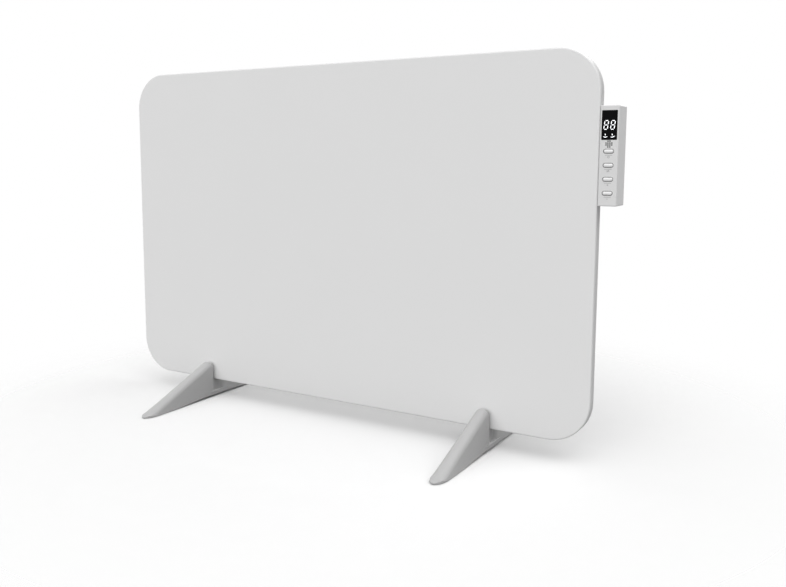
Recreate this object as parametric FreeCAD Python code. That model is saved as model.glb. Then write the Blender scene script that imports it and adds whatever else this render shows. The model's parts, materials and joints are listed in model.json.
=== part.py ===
import FreeCAD, Part
import math
import os

# Free-standing infrared panel heater: a flat radiating panel in two wedge feet, a control box on its edge.
# Millimetres. +Z is up, the floor is z = 0 and the front looks towards -Y.
# y = 0 is the middle of the panel's thickness, x = 0 the middle of the whole width with the control box.

# Panel: one formed sheet, closed at the back by a cover
PANEL_W = 940.0
PANEL_H = 600.0
PANEL_T = 17.0
PANEL_CORNER_R = 66.0
PANEL_SHEET = 1.2
PANEL_BEND_R = 2.5
LEAST_CORNER_R = 1.0
FLOOR_GAP = 34.0

# Heater sandwich inside the panel
FILM_T = 0.6
FILM_MARGIN = 22.0
BUSBAR_W = 10.0
BUSBAR_T = 0.3
BUSBAR_MARGIN = 8.0
FOIL_T = 0.3
FOIL_GAP = 3.0
BOARD_GAP = 1.0
POCKET_CLEAR = 1.0

# Stiffening channels along the flange
RAIL_W = 14.0
RAIL_T = 1.5
RAIL_BEND_CLEAR = 0.2
RAIL_END_GAP = 4.0
RAIL_SCREW_INSET = 40.0
RAIL_SCREW_FROM_WEB = 7.7
LONG_RAIL_SCREWS = 4

# Rear cover with pressed beads
COVER_T = 1.0
COVER_GAP = 0.4
BEAD_L = 640.0
BEAD_W = 20.0
BEAD_H = 1.6
BEAD_DRAFT = 3.0
BEAD_PITCH = 190.0
BEAD_COUNT = 3

# Threaded inserts for wall brackets
WALL_PITCH_X = 600.0
WALL_PITCH_Z = 300.0
INSERT_BORE_R = 2.1
INSERT_BODY_R = 3.5
INSERT_BODY_L = 9.0
INSERT_FLANGE_R = 4.8
INSERT_FLANGE_T = 0.8

# Overheating switch and temperature probe, in one pocket of the insulation
CUTOUT_FROM_EDGE = 110.0
CUTOUT_DROP = 160.0
CUTOUT_R = 8.0
CUTOUT_H = 8.0
CUTOUT_FLANGE_R = 9.5
CUTOUT_FLANGE_T = 1.2
TERMINAL_W = 5.0
TERMINAL_T = 0.8
TERMINAL_L = 4.0
PROBE_R = 2.0
PROBE_L = 16.0
PROBE_OFFSET = 20.0

# Feet: two wedges, wider at the floor than at the crown, joined by a waist on a sill that bulges past them
FOOT_INSET = 175.5
FOOT_SHIFT = 4.0
FOOT_W = 27.0
FOOT_CROWN_W = 21.0
FOOT_REACH = 184.0
FOOT_NOSE_H = 2.8
FOOT_NOSE_L = 30.0
FOOT_RIDGE_DEG = 21.35
FOOT_PEAK_R = 12.0
FOOT_EDGE_R = 9.8
FOOT_WALL = 2.6
FOOT_SLOT_CLEAR = 0.25
FOOT_WAIST_STEP = 3.0
FOOT_SILL_H = 12.0
FOOT_SILL_BULGE = 4.0
FOOT_SILL_L = 200.0
FOOT_ARCH_H = 4.0
FOOT_ARCH_SPAN = 230.0
FOOT_RIB_T = 2.0
FOOT_RIB_PITCH = 34.0
FOOT_RIBS = 4

# Rubber pads pressed into the feet's hollow noses
PAD_PROUD = 1.0
PAD_L = 40.0
PAD_GRIP = 3.0
PAD_CLEAR = 0.1
PAD_CORNER_R = 2.0
PAD_FROM_NOSE = 26.0

# One screw up through each foot's waist, and its anchor inside the lower channel
FOOT_SCREW_R = 2.5
FOOT_SCREW_HEAD_R = 4.5
FOOT_SCREW_HEAD_H = 3.5
FOOT_SCREW_HEAD_CLEAR = 0.4
FOOT_SCREW_SEAT = 18.0
ANCHOR_L = 40.0
ANCHOR_H = 9.0

# Control box: stands beside the panel's edge, laps round behind the panel
BOX_OVERHANG = 28.0
BOX_LAP = 62.0
BOX_DROP = 86.5
BOX_H = 146.0
BOX_D = 40.0
BOX_SIDE_GAP = 0.4
BOX_WALL = 2.2
BOX_FACE_T = 3.0
BOX_EDGE_R = 1.5
BOX_CORNER_R = 2.0
BOX_COVER_T = 3.0
BOX_BOSS_R = 3.5
BOX_BOSS_INSET = 5.0
BOSS_DEPTH = 6.0
BOX_LIP_T = 1.4
BOX_LIP_H = 2.5
BOX_LIP_CLEAR = 0.25
VENT_L = 24.0
VENT_W = 2.5
VENT_PITCH = 6.0
VENT_COUNT = 9

# Display window and sound holes in the control box's face
LENS_W = 22.0
LENS_H = 42.0
LENS_T = 1.6
LENS_R = 0.8
LENS_CLEAR = 0.1
LENS_DROP = 7.4
WINDOW_RIM = 2.2
DISPLAY_CLEAR = 0.2
SOUND_HOLE_R = 0.85
SOUND_PITCH = 2.8
SOUND_ROWS = 4
SOUND_DROP = 55.6
SOUND_SKIN = 1.0
SOUND_POCKET_RIM = 0.1

# Push buttons and the switches behind them
BUTTON_NAMES = ("power", "mode", "plus", "minus")
BUTTON_W = 14.5
BUTTON_H = 5.8
BUTTON_PROUD = 1.6
BUTTON_CLEAR = 0.25
BUTTON_FLANGE = 0.8
BUTTON_FLANGE_T = 1.0
BUTTON_PLAY = 0.1
BUTTON_DROP = 66.0
BUTTON_FOOT = 19.1
BUTTON_TRAVEL = 0.7
STEM_R = 1.9
STEM_L = 2.2
SWITCH_SIZE = 6.0
SWITCH_H = 3.4
PLUNGER_R = 1.7
PLUNGER_L = 1.6
PLUNGER_CLEAR = 0.1

# Circuit boards
BOARD_T = 1.6
CONTROL_BOARD_GAP = 8.0
CONTROL_BOARD_MARGIN = 1.2
CONTROL_BOARD_FOOT = 8.0
POWER_BOARD_GAP = 2.5
POWER_BOARD_MARGIN = 13.0
BOSS_R = 2.0
BOSS_EDGE = 1.5
BUZZER_R = 4.5
BUZZER_H = 5.0

# Small screws: shank radius, head radius and head height; every head's crown takes the same shares of it
SMALL_SCREW_R = 1.4
SMALL_SCREW_HEAD_R = 2.7
SMALL_SCREW_HEAD_H = 1.7
BOARD_SCREW_R = 1.0
BOARD_SCREW_HEAD_R = 1.9
BOARD_SCREW_HEAD_H = 1.2
COVER_SCREW_R = 1.7
COVER_SCREW_HEAD_R = 3.4
COVER_SCREW_HEAD_H = 2.0
COVER_SCREW_L = 9.0
SCREW_CLEAR = 0.1
HEAD_CROWN_SHARE = 0.45
HEAD_TOP_SHARE = 0.72

# Plate behind the rear cover that takes the control box's screws
PLATE_T = 2.0
PLATE_INSET = 3.0
MOUNT_SCREW_INSET_X = 10.0
MOUNT_SCREW_INSET_Z = 24.0
MOUNT_SCREW_PITCH_X = 28.0

# Heater leads and the grommet that they pass
LEAD_R = 1.2
LEAD_BEND_R = 5.0
LEAD_PITCH = 4.0
LEAD_CLEAR = 0.3
GROMMET_BORE_R = 3.4
GROMMET_NECK_R = 5.5
GROMMET_FLANGE_R = 7.5
GROMMET_FLANGE_T = 1.4
GROMMET_FROM_LAP = 24.0

# Parts on the power board: width (x), length (z), height (y) and edge radius
TERMINAL_BLOCK = (16.0, 24.0, 10.5, 1.0)
LEAD_SOCKET_DEPTH = 5.0
CLAMP_DEPTH = 2.0
RELAY = (15.5, 19.0, 12.0, 1.0)
TRANSFORMER = (20.0, 22.0, 12.5, 2.0)
FUSE = (6.0, 22.0, 7.0, 2.5)
FUSE_GAP = 6.0
TILT_SWITCH = (13.0, 14.0, 11.0, 1.5)
SIGNAL_PLUG = (9.0, 16.0, 6.0, 0.6)
PART_INSET = 2.0
COLUMN_INSET = 7.0
RIBBON_W = 12.0
RIBBON_T = 0.8
RIBBON_BEND_R = 3.0

# Mains cord gland under the control box
GLAND_BORE_R = 3.6
GLAND_THREAD_R = 5.5
GLAND_HEAD_R = 7.0
GLAND_HEAD_L = 7.0
GLAND_TIP_R = 5.2
GLAND_INNER_L = 6.5
GLAND_NUT_T = 3.0
GLAND_NUT_ACROSS = 13.0
GLAND_FROM_LAP = 30.0

# How far a cutting tool runs past the face that it leaves, and when two lengths count as equal
OVERCUT = 1.0
SAME = 1e-4

# Places worked out from the sizes above
TOTAL_W = PANEL_W + BOX_OVERHANG
PANEL_X0 = -TOTAL_W / 2
PANEL_X1 = PANEL_X0 + PANEL_W
PANEL_XC = (PANEL_X0 + PANEL_X1) / 2
PANEL_Z0 = FLOOR_GAP
PANEL_Z1 = PANEL_Z0 + PANEL_H
PANEL_ZC = (PANEL_Z0 + PANEL_Z1) / 2
FRONT_Y = -PANEL_T / 2
BACK_Y = PANEL_T / 2
FILM_Y0 = FRONT_Y + PANEL_SHEET
FILM_Y1 = FILM_Y0 + FILM_T
BOARD_Y0 = FILM_Y1 + max(FOIL_T, BUSBAR_T)
COVER_Y0 = BACK_Y - COVER_T
RAIL_X0 = PANEL_X0 + PANEL_SHEET
RAIL_X1 = PANEL_X1 - PANEL_SHEET
RAIL_Z0 = PANEL_Z0 + PANEL_SHEET
RAIL_Z1 = PANEL_Z1 - PANEL_SHEET
LONG_RAIL_L = PANEL_W - 2 * (PANEL_CORNER_R + RAIL_END_GAP)
SHORT_RAIL_L = PANEL_H - 2 * (PANEL_CORNER_R + RAIL_END_GAP)
RAIL_SCREW_IN = PANEL_SHEET + RAIL_SCREW_FROM_WEB
FOOT_XS = (PANEL_X0 + FOOT_INSET + FOOT_SHIFT, PANEL_X1 - FOOT_INSET + FOOT_SHIFT)
SLOT_Y = BACK_Y + FOOT_SLOT_CLEAR
NOSE_Y = -(BACK_Y + FOOT_REACH)

BOX_X0 = PANEL_X1 - BOX_LAP
BOX_X1 = PANEL_X1 + BOX_SIDE_GAP
BOX_X2 = PANEL_X1 + BOX_OVERHANG
BOX_XC = (BOX_X1 + BOX_X2) / 2
BOX_Z1 = PANEL_Z1 - BOX_DROP
BOX_Z0 = BOX_Z1 - BOX_H
BOX_ZC = (BOX_Z0 + BOX_Z1) / 2
BOX_Y0 = FRONT_Y
BOX_Y1 = BOX_Y0 + BOX_D
BOX_COVER_Y = BOX_Y1 - BOX_COVER_T
BOX_FACE_Y = BOX_Y0 + BOX_FACE_T
BOX_LAP_Y = BACK_Y + BOX_WALL
LENS_Z1 = BOX_Z1 - LENS_DROP
LENS_Z0 = LENS_Z1 - LENS_H
SOUND_Z = BOX_Z1 - SOUND_DROP
BUTTON_PITCH = (BOX_H - BUTTON_DROP - BUTTON_FOOT) / (len(BUTTON_NAMES) - 1)
BUTTON_ZS = [BOX_Z1 - BUTTON_DROP - i * BUTTON_PITCH for i in range(len(BUTTON_NAMES))]
CONTROL_BOARD_Y = BOX_FACE_Y + CONTROL_BOARD_GAP
CONTROL_BOARD_Z0 = BUTTON_ZS[-1] - CONTROL_BOARD_FOOT
CONTROL_BOARD_Z1 = LENS_Z1 - WINDOW_RIM
POWER_BOARD_Y = BOX_LAP_Y + POWER_BOARD_GAP
POWER_FACE_Y = POWER_BOARD_Y + BOARD_T
POWER_X0 = BOX_X0 + POWER_BOARD_MARGIN
POWER_X1 = PANEL_X1 - BOX_WALL
POWER_Z0 = BOX_Z0 + POWER_BOARD_MARGIN
POWER_Z1 = BOX_Z1 - BOX_WALL - CONTROL_BOARD_MARGIN
GROMMET_X = BOX_X0 + GROMMET_FROM_LAP
GROMMET_Z = BOX_ZC
PLATE_Y = COVER_Y0 - PLATE_T
PLATE_X0 = BOX_X0 + PLATE_INSET
PLATE_X1 = RAIL_X1 - RAIL_W - BOARD_GAP
CUTOUT_X = PANEL_X1 - CUTOUT_FROM_EDGE
CUTOUT_Z = PANEL_Z1 - CUTOUT_DROP
GLAND_X = BOX_X0 + GLAND_FROM_LAP
GLAND_Y = (BOX_LAP_Y + BOX_COVER_Y) / 2


def vec(x, y, z):
    return FreeCAD.Vector(x, y, z)


def block(x0, x1, y0, y1, z0, z1):
    """Rectangular block between two corners."""
    return Part.makeBox(x1 - x0, y1 - y0, z1 - z0, vec(x0, y0, z0))


def rod(radius, start, end):
    """Round bar between two points."""
    axis = end.sub(start)
    return Part.makeCylinder(radius, axis.Length, start, axis)


def hole_y(radius, x, z, y0, y1):
    """Cutting tool for a round hole along Y through a wall between y0 and y1."""
    return rod(radius, vec(x, y0 - OVERCUT, z), vec(x, y1 + OVERCUT, z))


def outline(x0, x1, z0, z1, radius, y):
    """Closed rounded rectangle in the plane of one y; a radius of half its height makes a pill."""
    k = radius * (1 - math.sqrt(0.5))
    corners = [
        (vec(x1 - radius, y, z0), vec(x1 - k, y, z0 + k), vec(x1, y, z0 + radius)),
        (vec(x1, y, z1 - radius), vec(x1 - k, y, z1 - k), vec(x1 - radius, y, z1)),
        (vec(x0 + radius, y, z1), vec(x0 + k, y, z1 - k), vec(x0, y, z1 - radius)),
        (vec(x0, y, z0 + radius), vec(x0 + k, y, z0 + k), vec(x0 + radius, y, z0)),
    ]
    edges = []
    for i, corner in enumerate(corners):
        last_end = corners[i - 1][2]
        if last_end.distanceToPoint(corner[0]) > SAME:
            edges.append(Part.LineSegment(last_end, corner[0]).toShape())
        edges.append(Part.Arc(*corner).toShape())
    return Part.Wire(edges)


def slab(x0, x1, z0, z1, radius, y0, y1):
    """Rounded rectangle pulled from y0 to y1."""
    return Part.Face(outline(x0, x1, z0, z1, radius, y0)).extrude(vec(0, y1 - y0, 0))


def pill(x, z, width, height, y0, y1):
    """Bar with full round ends, lying along X."""
    return slab(x - width / 2, x + width / 2, z - height / 2, z + height / 2, height / 2, y0, y1)


def edges_at(shape, axis, value):
    """Edges that lie wholly in the plane where the named axis has one value."""
    found = []
    for edge in shape.Edges:
        box = edge.BoundBox
        low, high = (getattr(box, axis + "Min"), getattr(box, axis + "Max"))
        if abs(low - value) < SAME and abs(high - value) < SAME:
            found.append(edge)
    return found


def edges_along_y(shape, places):
    """Straight edges parallel to Y that pass through the given (x, z) places."""
    found = []
    for edge in shape.Edges:
        box = edge.BoundBox
        if box.XLength > SAME or box.ZLength > SAME:
            continue
        if any(abs(box.XMin - x) < SAME and abs(box.ZMin - z) < SAME for x, z in places):
            found.append(edge)
    return found


def screw(shank_r, head_r, head_h, length, seat, axis):
    """Pan-head screw with its head's underside at seat; axis points from the head along the shank."""
    crown = head_h * HEAD_CROWN_SHARE
    profile = Part.makePolygon([
        vec(0, 0, length),
        vec(shank_r, 0, length),
        vec(shank_r, 0, 0),
        vec(head_r, 0, 0),
        vec(head_r, 0, crown - head_h),
        vec(head_r * HEAD_TOP_SHARE, 0, -head_h),
        vec(0, 0, -head_h),
        vec(0, 0, length),
    ])
    solid = Part.Face(profile).revolve(vec(0, 0, 0), vec(0, 0, 1), 360)
    turn = FreeCAD.Rotation(vec(0, 0, 1), axis)
    solid.Placement = FreeCAD.Placement(seat, turn)
    return solid


def group(solids):
    return Part.makeCompound(solids)


def cover_screw_places():
    """(x, z) of the rear cover's screws: along both long channels and the lower half of both short ones."""
    first = PANEL_XC - LONG_RAIL_L / 2 + RAIL_SCREW_INSET
    step = (LONG_RAIL_L - 2 * RAIL_SCREW_INSET) / (LONG_RAIL_SCREWS - 1)
    places = []
    for i in range(LONG_RAIL_SCREWS):
        for z in (PANEL_Z0 + RAIL_SCREW_IN, PANEL_Z1 - RAIL_SCREW_IN):
            places.append((first + i * step, z))
    for x in (PANEL_X0 + RAIL_SCREW_IN, PANEL_X1 - RAIL_SCREW_IN):
        for z in (PANEL_ZC - SHORT_RAIL_L / 2 + RAIL_SCREW_INSET, PANEL_ZC):
            places.append((x, z))
    return places


def wall_insert_places():
    return [
        (PANEL_XC + i * WALL_PITCH_X / 2, PANEL_ZC + j * WALL_PITCH_Z / 2)
        for i in (-1, 1)
        for j in (-1, 1)
    ]


def mount_screw_places():
    """(x, z) of the screws that fix the control box to the panel's back."""
    first = BOX_X0 + MOUNT_SCREW_INSET_X
    return [
        (x, z)
        for x in (first, first + MOUNT_SCREW_PITCH_X)
        for z in (BOX_Z0 + MOUNT_SCREW_INSET_Z, BOX_Z1 - MOUNT_SCREW_INSET_Z)
    ]


def box_boss_places():
    """(x, z, y where the boss starts) of the control box's cover screws."""
    left, right = (BOX_X0 + BOX_BOSS_INSET, BOX_X2 - BOX_BOSS_INSET)
    heights = (BOX_Z0 + BOX_BOSS_INSET, BOX_Z1 - BOX_BOSS_INSET)
    return [(left, z, BOX_LAP_Y) for z in heights] + [(right, z, BOX_FACE_Y) for z in heights]


def control_board_screw_places():
    """(x, z): midway between the first two and the last two buttons."""
    return [
        (BOX_XC, (BUTTON_ZS[0] + BUTTON_ZS[1]) / 2),
        (BOX_XC, (BUTTON_ZS[2] + BUTTON_ZS[3]) / 2),
    ]


def power_board_screw_places():
    inset = BOSS_R + BOSS_EDGE
    return [
        (x, z)
        for x in (POWER_X0 + inset, POWER_X1 - inset)
        for z in (POWER_Z0 + inset, POWER_Z1 - inset)
    ]


def front_panel():
    """Formed sheet: plain face, rounded bend and a flange all round, open at the back."""
    outer = slab(PANEL_X0, PANEL_X1, PANEL_Z0, PANEL_Z1, PANEL_CORNER_R, FRONT_Y, BACK_Y)
    outer = outer.makeFillet(PANEL_BEND_R, edges_at(outer, "Y", FRONT_Y))
    t = PANEL_SHEET
    inner = slab(
        PANEL_X0 + t, PANEL_X1 - t, PANEL_Z0 + t, PANEL_Z1 - t, PANEL_CORNER_R - t, FRONT_Y + t, BACK_Y + t
    )
    inner = inner.makeFillet(PANEL_BEND_R - t, edges_at(inner, "Y", FRONT_Y + t))
    tray = outer.cut(inner)
    for x in FOOT_XS:
        tray = tray.cut(rod(FOOT_SCREW_R + SCREW_CLEAR, vec(x, 0, PANEL_Z0 - t), vec(x, 0, PANEL_Z0 + 2 * t)))
    return tray


def inset_slab(margin, y0, y1):
    """Sheet with the panel's outline drawn in by a margin."""
    return slab(
        PANEL_X0 + margin, PANEL_X1 - margin, PANEL_Z0 + margin, PANEL_Z1 - margin,
        max(PANEL_CORNER_R - margin, LEAST_CORNER_R), y0, y1,
    )


def busbar_heights():
    """Lower edges of the two copper strips."""
    low = PANEL_Z0 + FILM_MARGIN + BUSBAR_MARGIN
    high = PANEL_Z1 - FILM_MARGIN - BUSBAR_MARGIN - BUSBAR_W
    return low, high


def copper_busbars():
    inset = FILM_MARGIN + BUSBAR_MARGIN
    x0, x1 = (PANEL_X0 + inset, PANEL_X1 - inset)
    return group([
        block(x0, x1, FILM_Y1, FILM_Y1 + BUSBAR_T, z, z + BUSBAR_W) for z in busbar_heights()
    ])


def reflector_foil():
    low, high = busbar_heights()
    x0, x1 = (PANEL_X0 + FILM_MARGIN, PANEL_X1 - FILM_MARGIN)
    return block(x0, x1, FILM_Y1, FILM_Y1 + FOIL_T, low + BUSBAR_W + FOIL_GAP, high - FOIL_GAP)


def lead_route(side):
    """Centre line of one heater lead: along the board, round a bend and back through the grommet."""
    low, high = busbar_heights()
    y = BOARD_Y0 + LEAD_R
    start_z = high + BUSBAR_W if side > 0 else low
    exit_z = GROMMET_Z + side * LEAD_PITCH / 2
    end_y = POWER_FACE_Y + LEAD_SOCKET_DEPTH
    bend = LEAD_BEND_R
    k = bend * (1 - math.sqrt(0.5))
    x = GROMMET_X
    run = Part.LineSegment(vec(x, y, start_z), vec(x, y, exit_z + side * bend))
    turn = Part.Arc(
        vec(x, y, exit_z + side * bend),
        vec(x, y + k, exit_z + side * k),
        vec(x, y + bend, exit_z),
    )
    out = Part.LineSegment(vec(x, y + bend, exit_z), vec(x, end_y, exit_z))
    return Part.Wire([run.toShape(), turn.toShape(), out.toShape()])


def heater_lead(side):
    route = lead_route(side)
    start = route.Vertexes[0].Point
    ring = Part.Wire(Part.makeCircle(LEAD_R, start, vec(0, 0, side)))
    return route.makePipeShell([ring], True, False)


def insulation_board():
    """Board that fills the tray behind the film, with pockets for all that lies in it."""
    margin = PANEL_SHEET + RAIL_W + BOARD_GAP
    board = inset_slab(margin, BOARD_Y0, COVER_Y0)
    through = (BOARD_Y0 - OVERCUT, COVER_Y0 + OVERCUT)
    for x, z in wall_insert_places():
        board = board.cut(hole_y(INSERT_BODY_R + POCKET_CLEAR, x, z, BOARD_Y0, COVER_Y0))
    reach = CUTOUT_FLANGE_R + 2 * POCKET_CLEAR
    board = board.cut(slab(
        CUTOUT_X - reach, CUTOUT_X + PROBE_OFFSET + reach, CUTOUT_Z - reach, CUTOUT_Z + reach,
        POCKET_CLEAR, *through,
    ))
    board = board.cut(block(
        PLATE_X0 - POCKET_CLEAR, PLATE_X1 + 2 * POCKET_CLEAR, PLATE_Y, through[1],
        BOX_Z0 + PLATE_INSET - POCKET_CLEAR, BOX_Z1 - PLATE_INSET + POCKET_CLEAR,
    ))
    board = board.cut(hole_y(GROMMET_FLANGE_R + POCKET_CLEAR, GROMMET_X, GROMMET_Z, BOARD_Y0, COVER_Y0))
    half = LEAD_R + LEAD_CLEAR
    low, high = busbar_heights()
    board = board.cut(block(
        GROMMET_X - half, GROMMET_X + half, through[0], BOARD_Y0 + 2 * half,
        low - POCKET_CLEAR, high + BUSBAR_W + POCKET_CLEAR,
    ))
    for x, z in mount_screw_places():
        board = board.cut(hole_y(COVER_SCREW_R + POCKET_CLEAR, x, z, BOARD_Y0, COVER_Y0))
    return board


def channel(length):
    """Open channel along X with its web at z = 0, filling the space between the face and the rear cover."""
    y0, y1, t = (FRONT_Y + PANEL_SHEET, COVER_Y0, RAIL_T)
    profile = Part.makePolygon([
        vec(0, y0, 0), vec(0, y1, 0), vec(0, y1, RAIL_W), vec(0, y1 - t, RAIL_W),
        vec(0, y1 - t, t), vec(0, y0 + t, t), vec(0, y0 + t, RAIL_W), vec(0, y0, RAIL_W), vec(0, y0, 0),
    ])
    bar = Part.Face(profile).extrude(vec(length, 0, 0))
    web_edges = [edge for edge in edges_at(bar, "Z", 0.0) if edge.BoundBox.XLength > RAIL_W]
    bar = bar.makeFillet(PANEL_BEND_R - PANEL_SHEET + RAIL_BEND_CLEAR, web_edges)
    bar.translate(vec(-length / 2, 0, 0))
    return bar


def rails():
    """Four channels, each with its web against the panel's flange."""
    seats = {
        "bottom_rail": (LONG_RAIL_L, 0, vec(PANEL_XC, 0, RAIL_Z0)),
        "top_rail": (LONG_RAIL_L, 180, vec(PANEL_XC, 0, RAIL_Z1)),
        "left_rail": (SHORT_RAIL_L, 90, vec(RAIL_X0, 0, PANEL_ZC)),
        "right_rail": (SHORT_RAIL_L, -90, vec(RAIL_X1, 0, PANEL_ZC)),
    }
    made = {}
    for name, (length, turn, seat) in seats.items():
        bar = channel(length)
        bar.rotate(vec(0, 0, 0), vec(0, 1, 0), turn)
        bar.translate(seat)
        for x, z in cover_screw_places():
            hole = rod(COVER_SCREW_R + SCREW_CLEAR, vec(x, COVER_Y0 - 2 * RAIL_T, z), vec(x, BACK_Y, z))
            bar = bar.cut(hole)
        for x in FOOT_XS:
            web_hole = rod(FOOT_SCREW_R + SCREW_CLEAR, vec(x, 0, PANEL_Z0), vec(x, 0, RAIL_Z0 + 2 * RAIL_T))
            bar = bar.cut(web_hole)
        made[name] = bar
    return made


def bead(z):
    """Pressed stiffening bead: a long pill whose flanks slope in towards its top."""
    half_l, half_w = (BEAD_L / 2, BEAD_W / 2)
    d = BEAD_DRAFT
    foot = outline(PANEL_XC - half_l, PANEL_XC + half_l, z - half_w, z + half_w, half_w, BACK_Y)
    top = outline(
        PANEL_XC - half_l + d, PANEL_XC + half_l - d, z - half_w + d, z + half_w - d,
        half_w - d, BACK_Y + BEAD_H,
    )
    return Part.makeLoft([foot, top], True, True)


def rear_cover():
    """Closing sheet with pressed beads and the holes for screws, inserts and the grommet."""
    cover = inset_slab(PANEL_SHEET + COVER_GAP, COVER_Y0, BACK_Y)
    for i in range(BEAD_COUNT):
        raised = bead(PANEL_ZC + (i - (BEAD_COUNT - 1) / 2) * BEAD_PITCH)
        hollow = raised.copy()
        hollow.translate(vec(0, -COVER_T, 0))
        cover = cover.fuse(raised).cut(hollow)
    holes = [(x, z, COVER_SCREW_R + SCREW_CLEAR) for x, z in cover_screw_places() + mount_screw_places()]
    holes += [(x, z, INSERT_BODY_R) for x, z in wall_insert_places()]
    holes.append((GROMMET_X, GROMMET_Z, GROMMET_NECK_R))
    for x, z, r in holes:
        cover = cover.cut(hole_y(r, x, z, COVER_Y0, BACK_Y))
    return cover.removeSplitter()


def wall_mount_inserts():
    """Flanged threaded inserts, open right through."""
    inserts = []
    for x, z in wall_insert_places():
        tip = BACK_Y - INSERT_BODY_L
        body = rod(INSERT_BODY_R, vec(x, tip, z), vec(x, BACK_Y, z))
        flange = rod(INSERT_FLANGE_R, vec(x, BACK_Y, z), vec(x, BACK_Y + INSERT_FLANGE_T, z))
        bore = rod(INSERT_BORE_R, vec(x, tip - OVERCUT, z), vec(x, BACK_Y + INSERT_FLANGE_T + OVERCUT, z))
        inserts.append(body.fuse(flange).cut(bore).removeSplitter())
    return group(inserts)


def control_backing_plate():
    plate = block(PLATE_X0, PLATE_X1, PLATE_Y, COVER_Y0, BOX_Z0 + PLATE_INSET, BOX_Z1 - PLATE_INSET)
    for x, z in mount_screw_places():
        plate = plate.cut(hole_y(COVER_SCREW_R + SCREW_CLEAR, x, z, PLATE_Y, COVER_Y0))
    return plate.cut(hole_y(GROMMET_NECK_R, GROMMET_X, GROMMET_Z, PLATE_Y, COVER_Y0))


def thermal_cutout():
    """Round bimetal switch: flange on the foil, body, and two flat terminals."""
    y0 = FILM_Y1 + FOIL_T
    y1 = y0 + CUTOUT_H
    shape = rod(CUTOUT_FLANGE_R, vec(CUTOUT_X, y0, CUTOUT_Z), vec(CUTOUT_X, y0 + CUTOUT_FLANGE_T, CUTOUT_Z))
    shape = shape.fuse(rod(CUTOUT_R, vec(CUTOUT_X, y0, CUTOUT_Z), vec(CUTOUT_X, y1, CUTOUT_Z)))
    for side in (-1, 1):
        x = CUTOUT_X + side * CUTOUT_R / 2
        shape = shape.fuse(block(
            x - TERMINAL_T / 2, x + TERMINAL_T / 2, y1, y1 + TERMINAL_L,
            CUTOUT_Z - TERMINAL_W / 2, CUTOUT_Z + TERMINAL_W / 2,
        ))
    return shape.removeSplitter()


def temperature_probe():
    """Sealed sensor sleeve lying on the foil, round at its tip."""
    x = CUTOUT_X + PROBE_OFFSET
    y = FILM_Y1 + FOIL_T + PROBE_R
    low = vec(x, y, CUTOUT_Z - PROBE_L / 2)
    high = vec(x, y, CUTOUT_Z + PROBE_L / 2 - PROBE_R)
    return rod(PROBE_R, low, high).fuse(Part.makeSphere(PROBE_R, high)).removeSplitter()


def lead_grommet():
    """Rubber grommet through the backing plate, the rear cover and the control box's wall."""
    at = vec(GROMMET_X, 0, GROMMET_Z)
    y0, y1 = (PLATE_Y, BOX_LAP_Y)
    t = GROMMET_FLANGE_T

    def ring(radius, low, high):
        return rod(radius, at.add(vec(0, low, 0)), at.add(vec(0, high, 0)))

    shape = ring(GROMMET_NECK_R, y0 - t, y1 + t)
    shape = shape.fuse([ring(GROMMET_FLANGE_R, y0 - t, y0), ring(GROMMET_FLANGE_R, y1, y1 + t)])
    return shape.cut(ring(GROMMET_BORE_R, y0 - 2 * t, y1 + 2 * t)).removeSplitter()


def foot_anchor(x):
    """Steel block inside the lower channel, threaded for one foot's screw."""
    base = RAIL_Z0 + RAIL_T
    y0, y1 = (FRONT_Y + PANEL_SHEET + RAIL_T, COVER_Y0 - RAIL_T)
    anchor = block(x - ANCHOR_L / 2, x + ANCHOR_L / 2, y0, y1, base, base + ANCHOR_H)
    return anchor.cut(rod(FOOT_SCREW_R, vec(x, 0, base - OVERCUT), vec(x, 0, base + ANCHOR_H + OVERCUT)))


def ridge_z(y, inset):
    """Height of the front wedge's straight ridge, drawn in by inset, before its peak is rounded."""
    slope = math.radians(FOOT_RIDGE_DEG)
    return FOOT_NOSE_H + (y - NOSE_Y) * math.tan(slope) - inset / math.cos(slope)


def flank_x(y, z, inset):
    """Half width between the front wedge's flanks, drawn in by inset: ruled from the floor to the ridge."""
    lean = (FOOT_W - FOOT_CROWN_W) / 2
    return FOOT_W / 2 - inset - lean * z / ridge_z(y, inset)


def nose_plan(inset):
    """Upright prism whose front end is half an ellipse in plan, about x = 0."""
    half, length = (FOOT_W / 2 - inset, FOOT_NOSE_L - inset)
    y = NOSE_Y + FOOT_NOSE_L
    ellipse = Part.Ellipse(vec(0, y - length, 0), vec(half, y, 0), vec(0, y, 0))
    nose = Part.ArcOfEllipse(ellipse, -math.pi / 2, math.pi / 2).toShape()
    start, end = [vertex.Point for vertex in nose.Vertexes]
    sides = Part.makePolygon([end, vec(end.x, 0, 0), vec(start.x, 0, 0), start])
    return Part.Face(Part.Wire([nose] + sides.Edges)).extrude(vec(0, 0, ridge_z(0, inset)))


def wedge(inset):
    """Front wedge of a foot about x = 0, every face drawn in by inset.

    Its flanks lean at the nose and stand nearly upright at the slot.
    """
    front_y, root_y = (NOSE_Y + 2 * inset, -SLOT_Y - inset)
    sections = []
    for y in (front_y, root_y):
        z = ridge_z(y, inset)
        low_x, top_x = (flank_x(y, 0, inset), flank_x(y, z, inset))
        sections.append(Part.makePolygon([
            vec(-low_x, y, 0), vec(low_x, y, 0), vec(top_x, y, z), vec(-top_x, y, z), vec(-low_x, y, 0),
        ]))
    body = Part.makeLoft(sections, True, True)
    body = body.makeFillet(FOOT_PEAK_R - inset, edges_at(body, "Z", ridge_z(root_y, inset)))
    flanks = []
    for edge in body.Edges:
        box = edge.BoundBox
        aside = abs(box.Center.x) > SAME
        if aside and box.ZMax > SAME and box.YMax > front_y + SAME:
            flanks.append(edge)
    body = body.makeFillet(FOOT_EDGE_R - inset, flanks)
    return body.common(nose_plan(inset))


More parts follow.
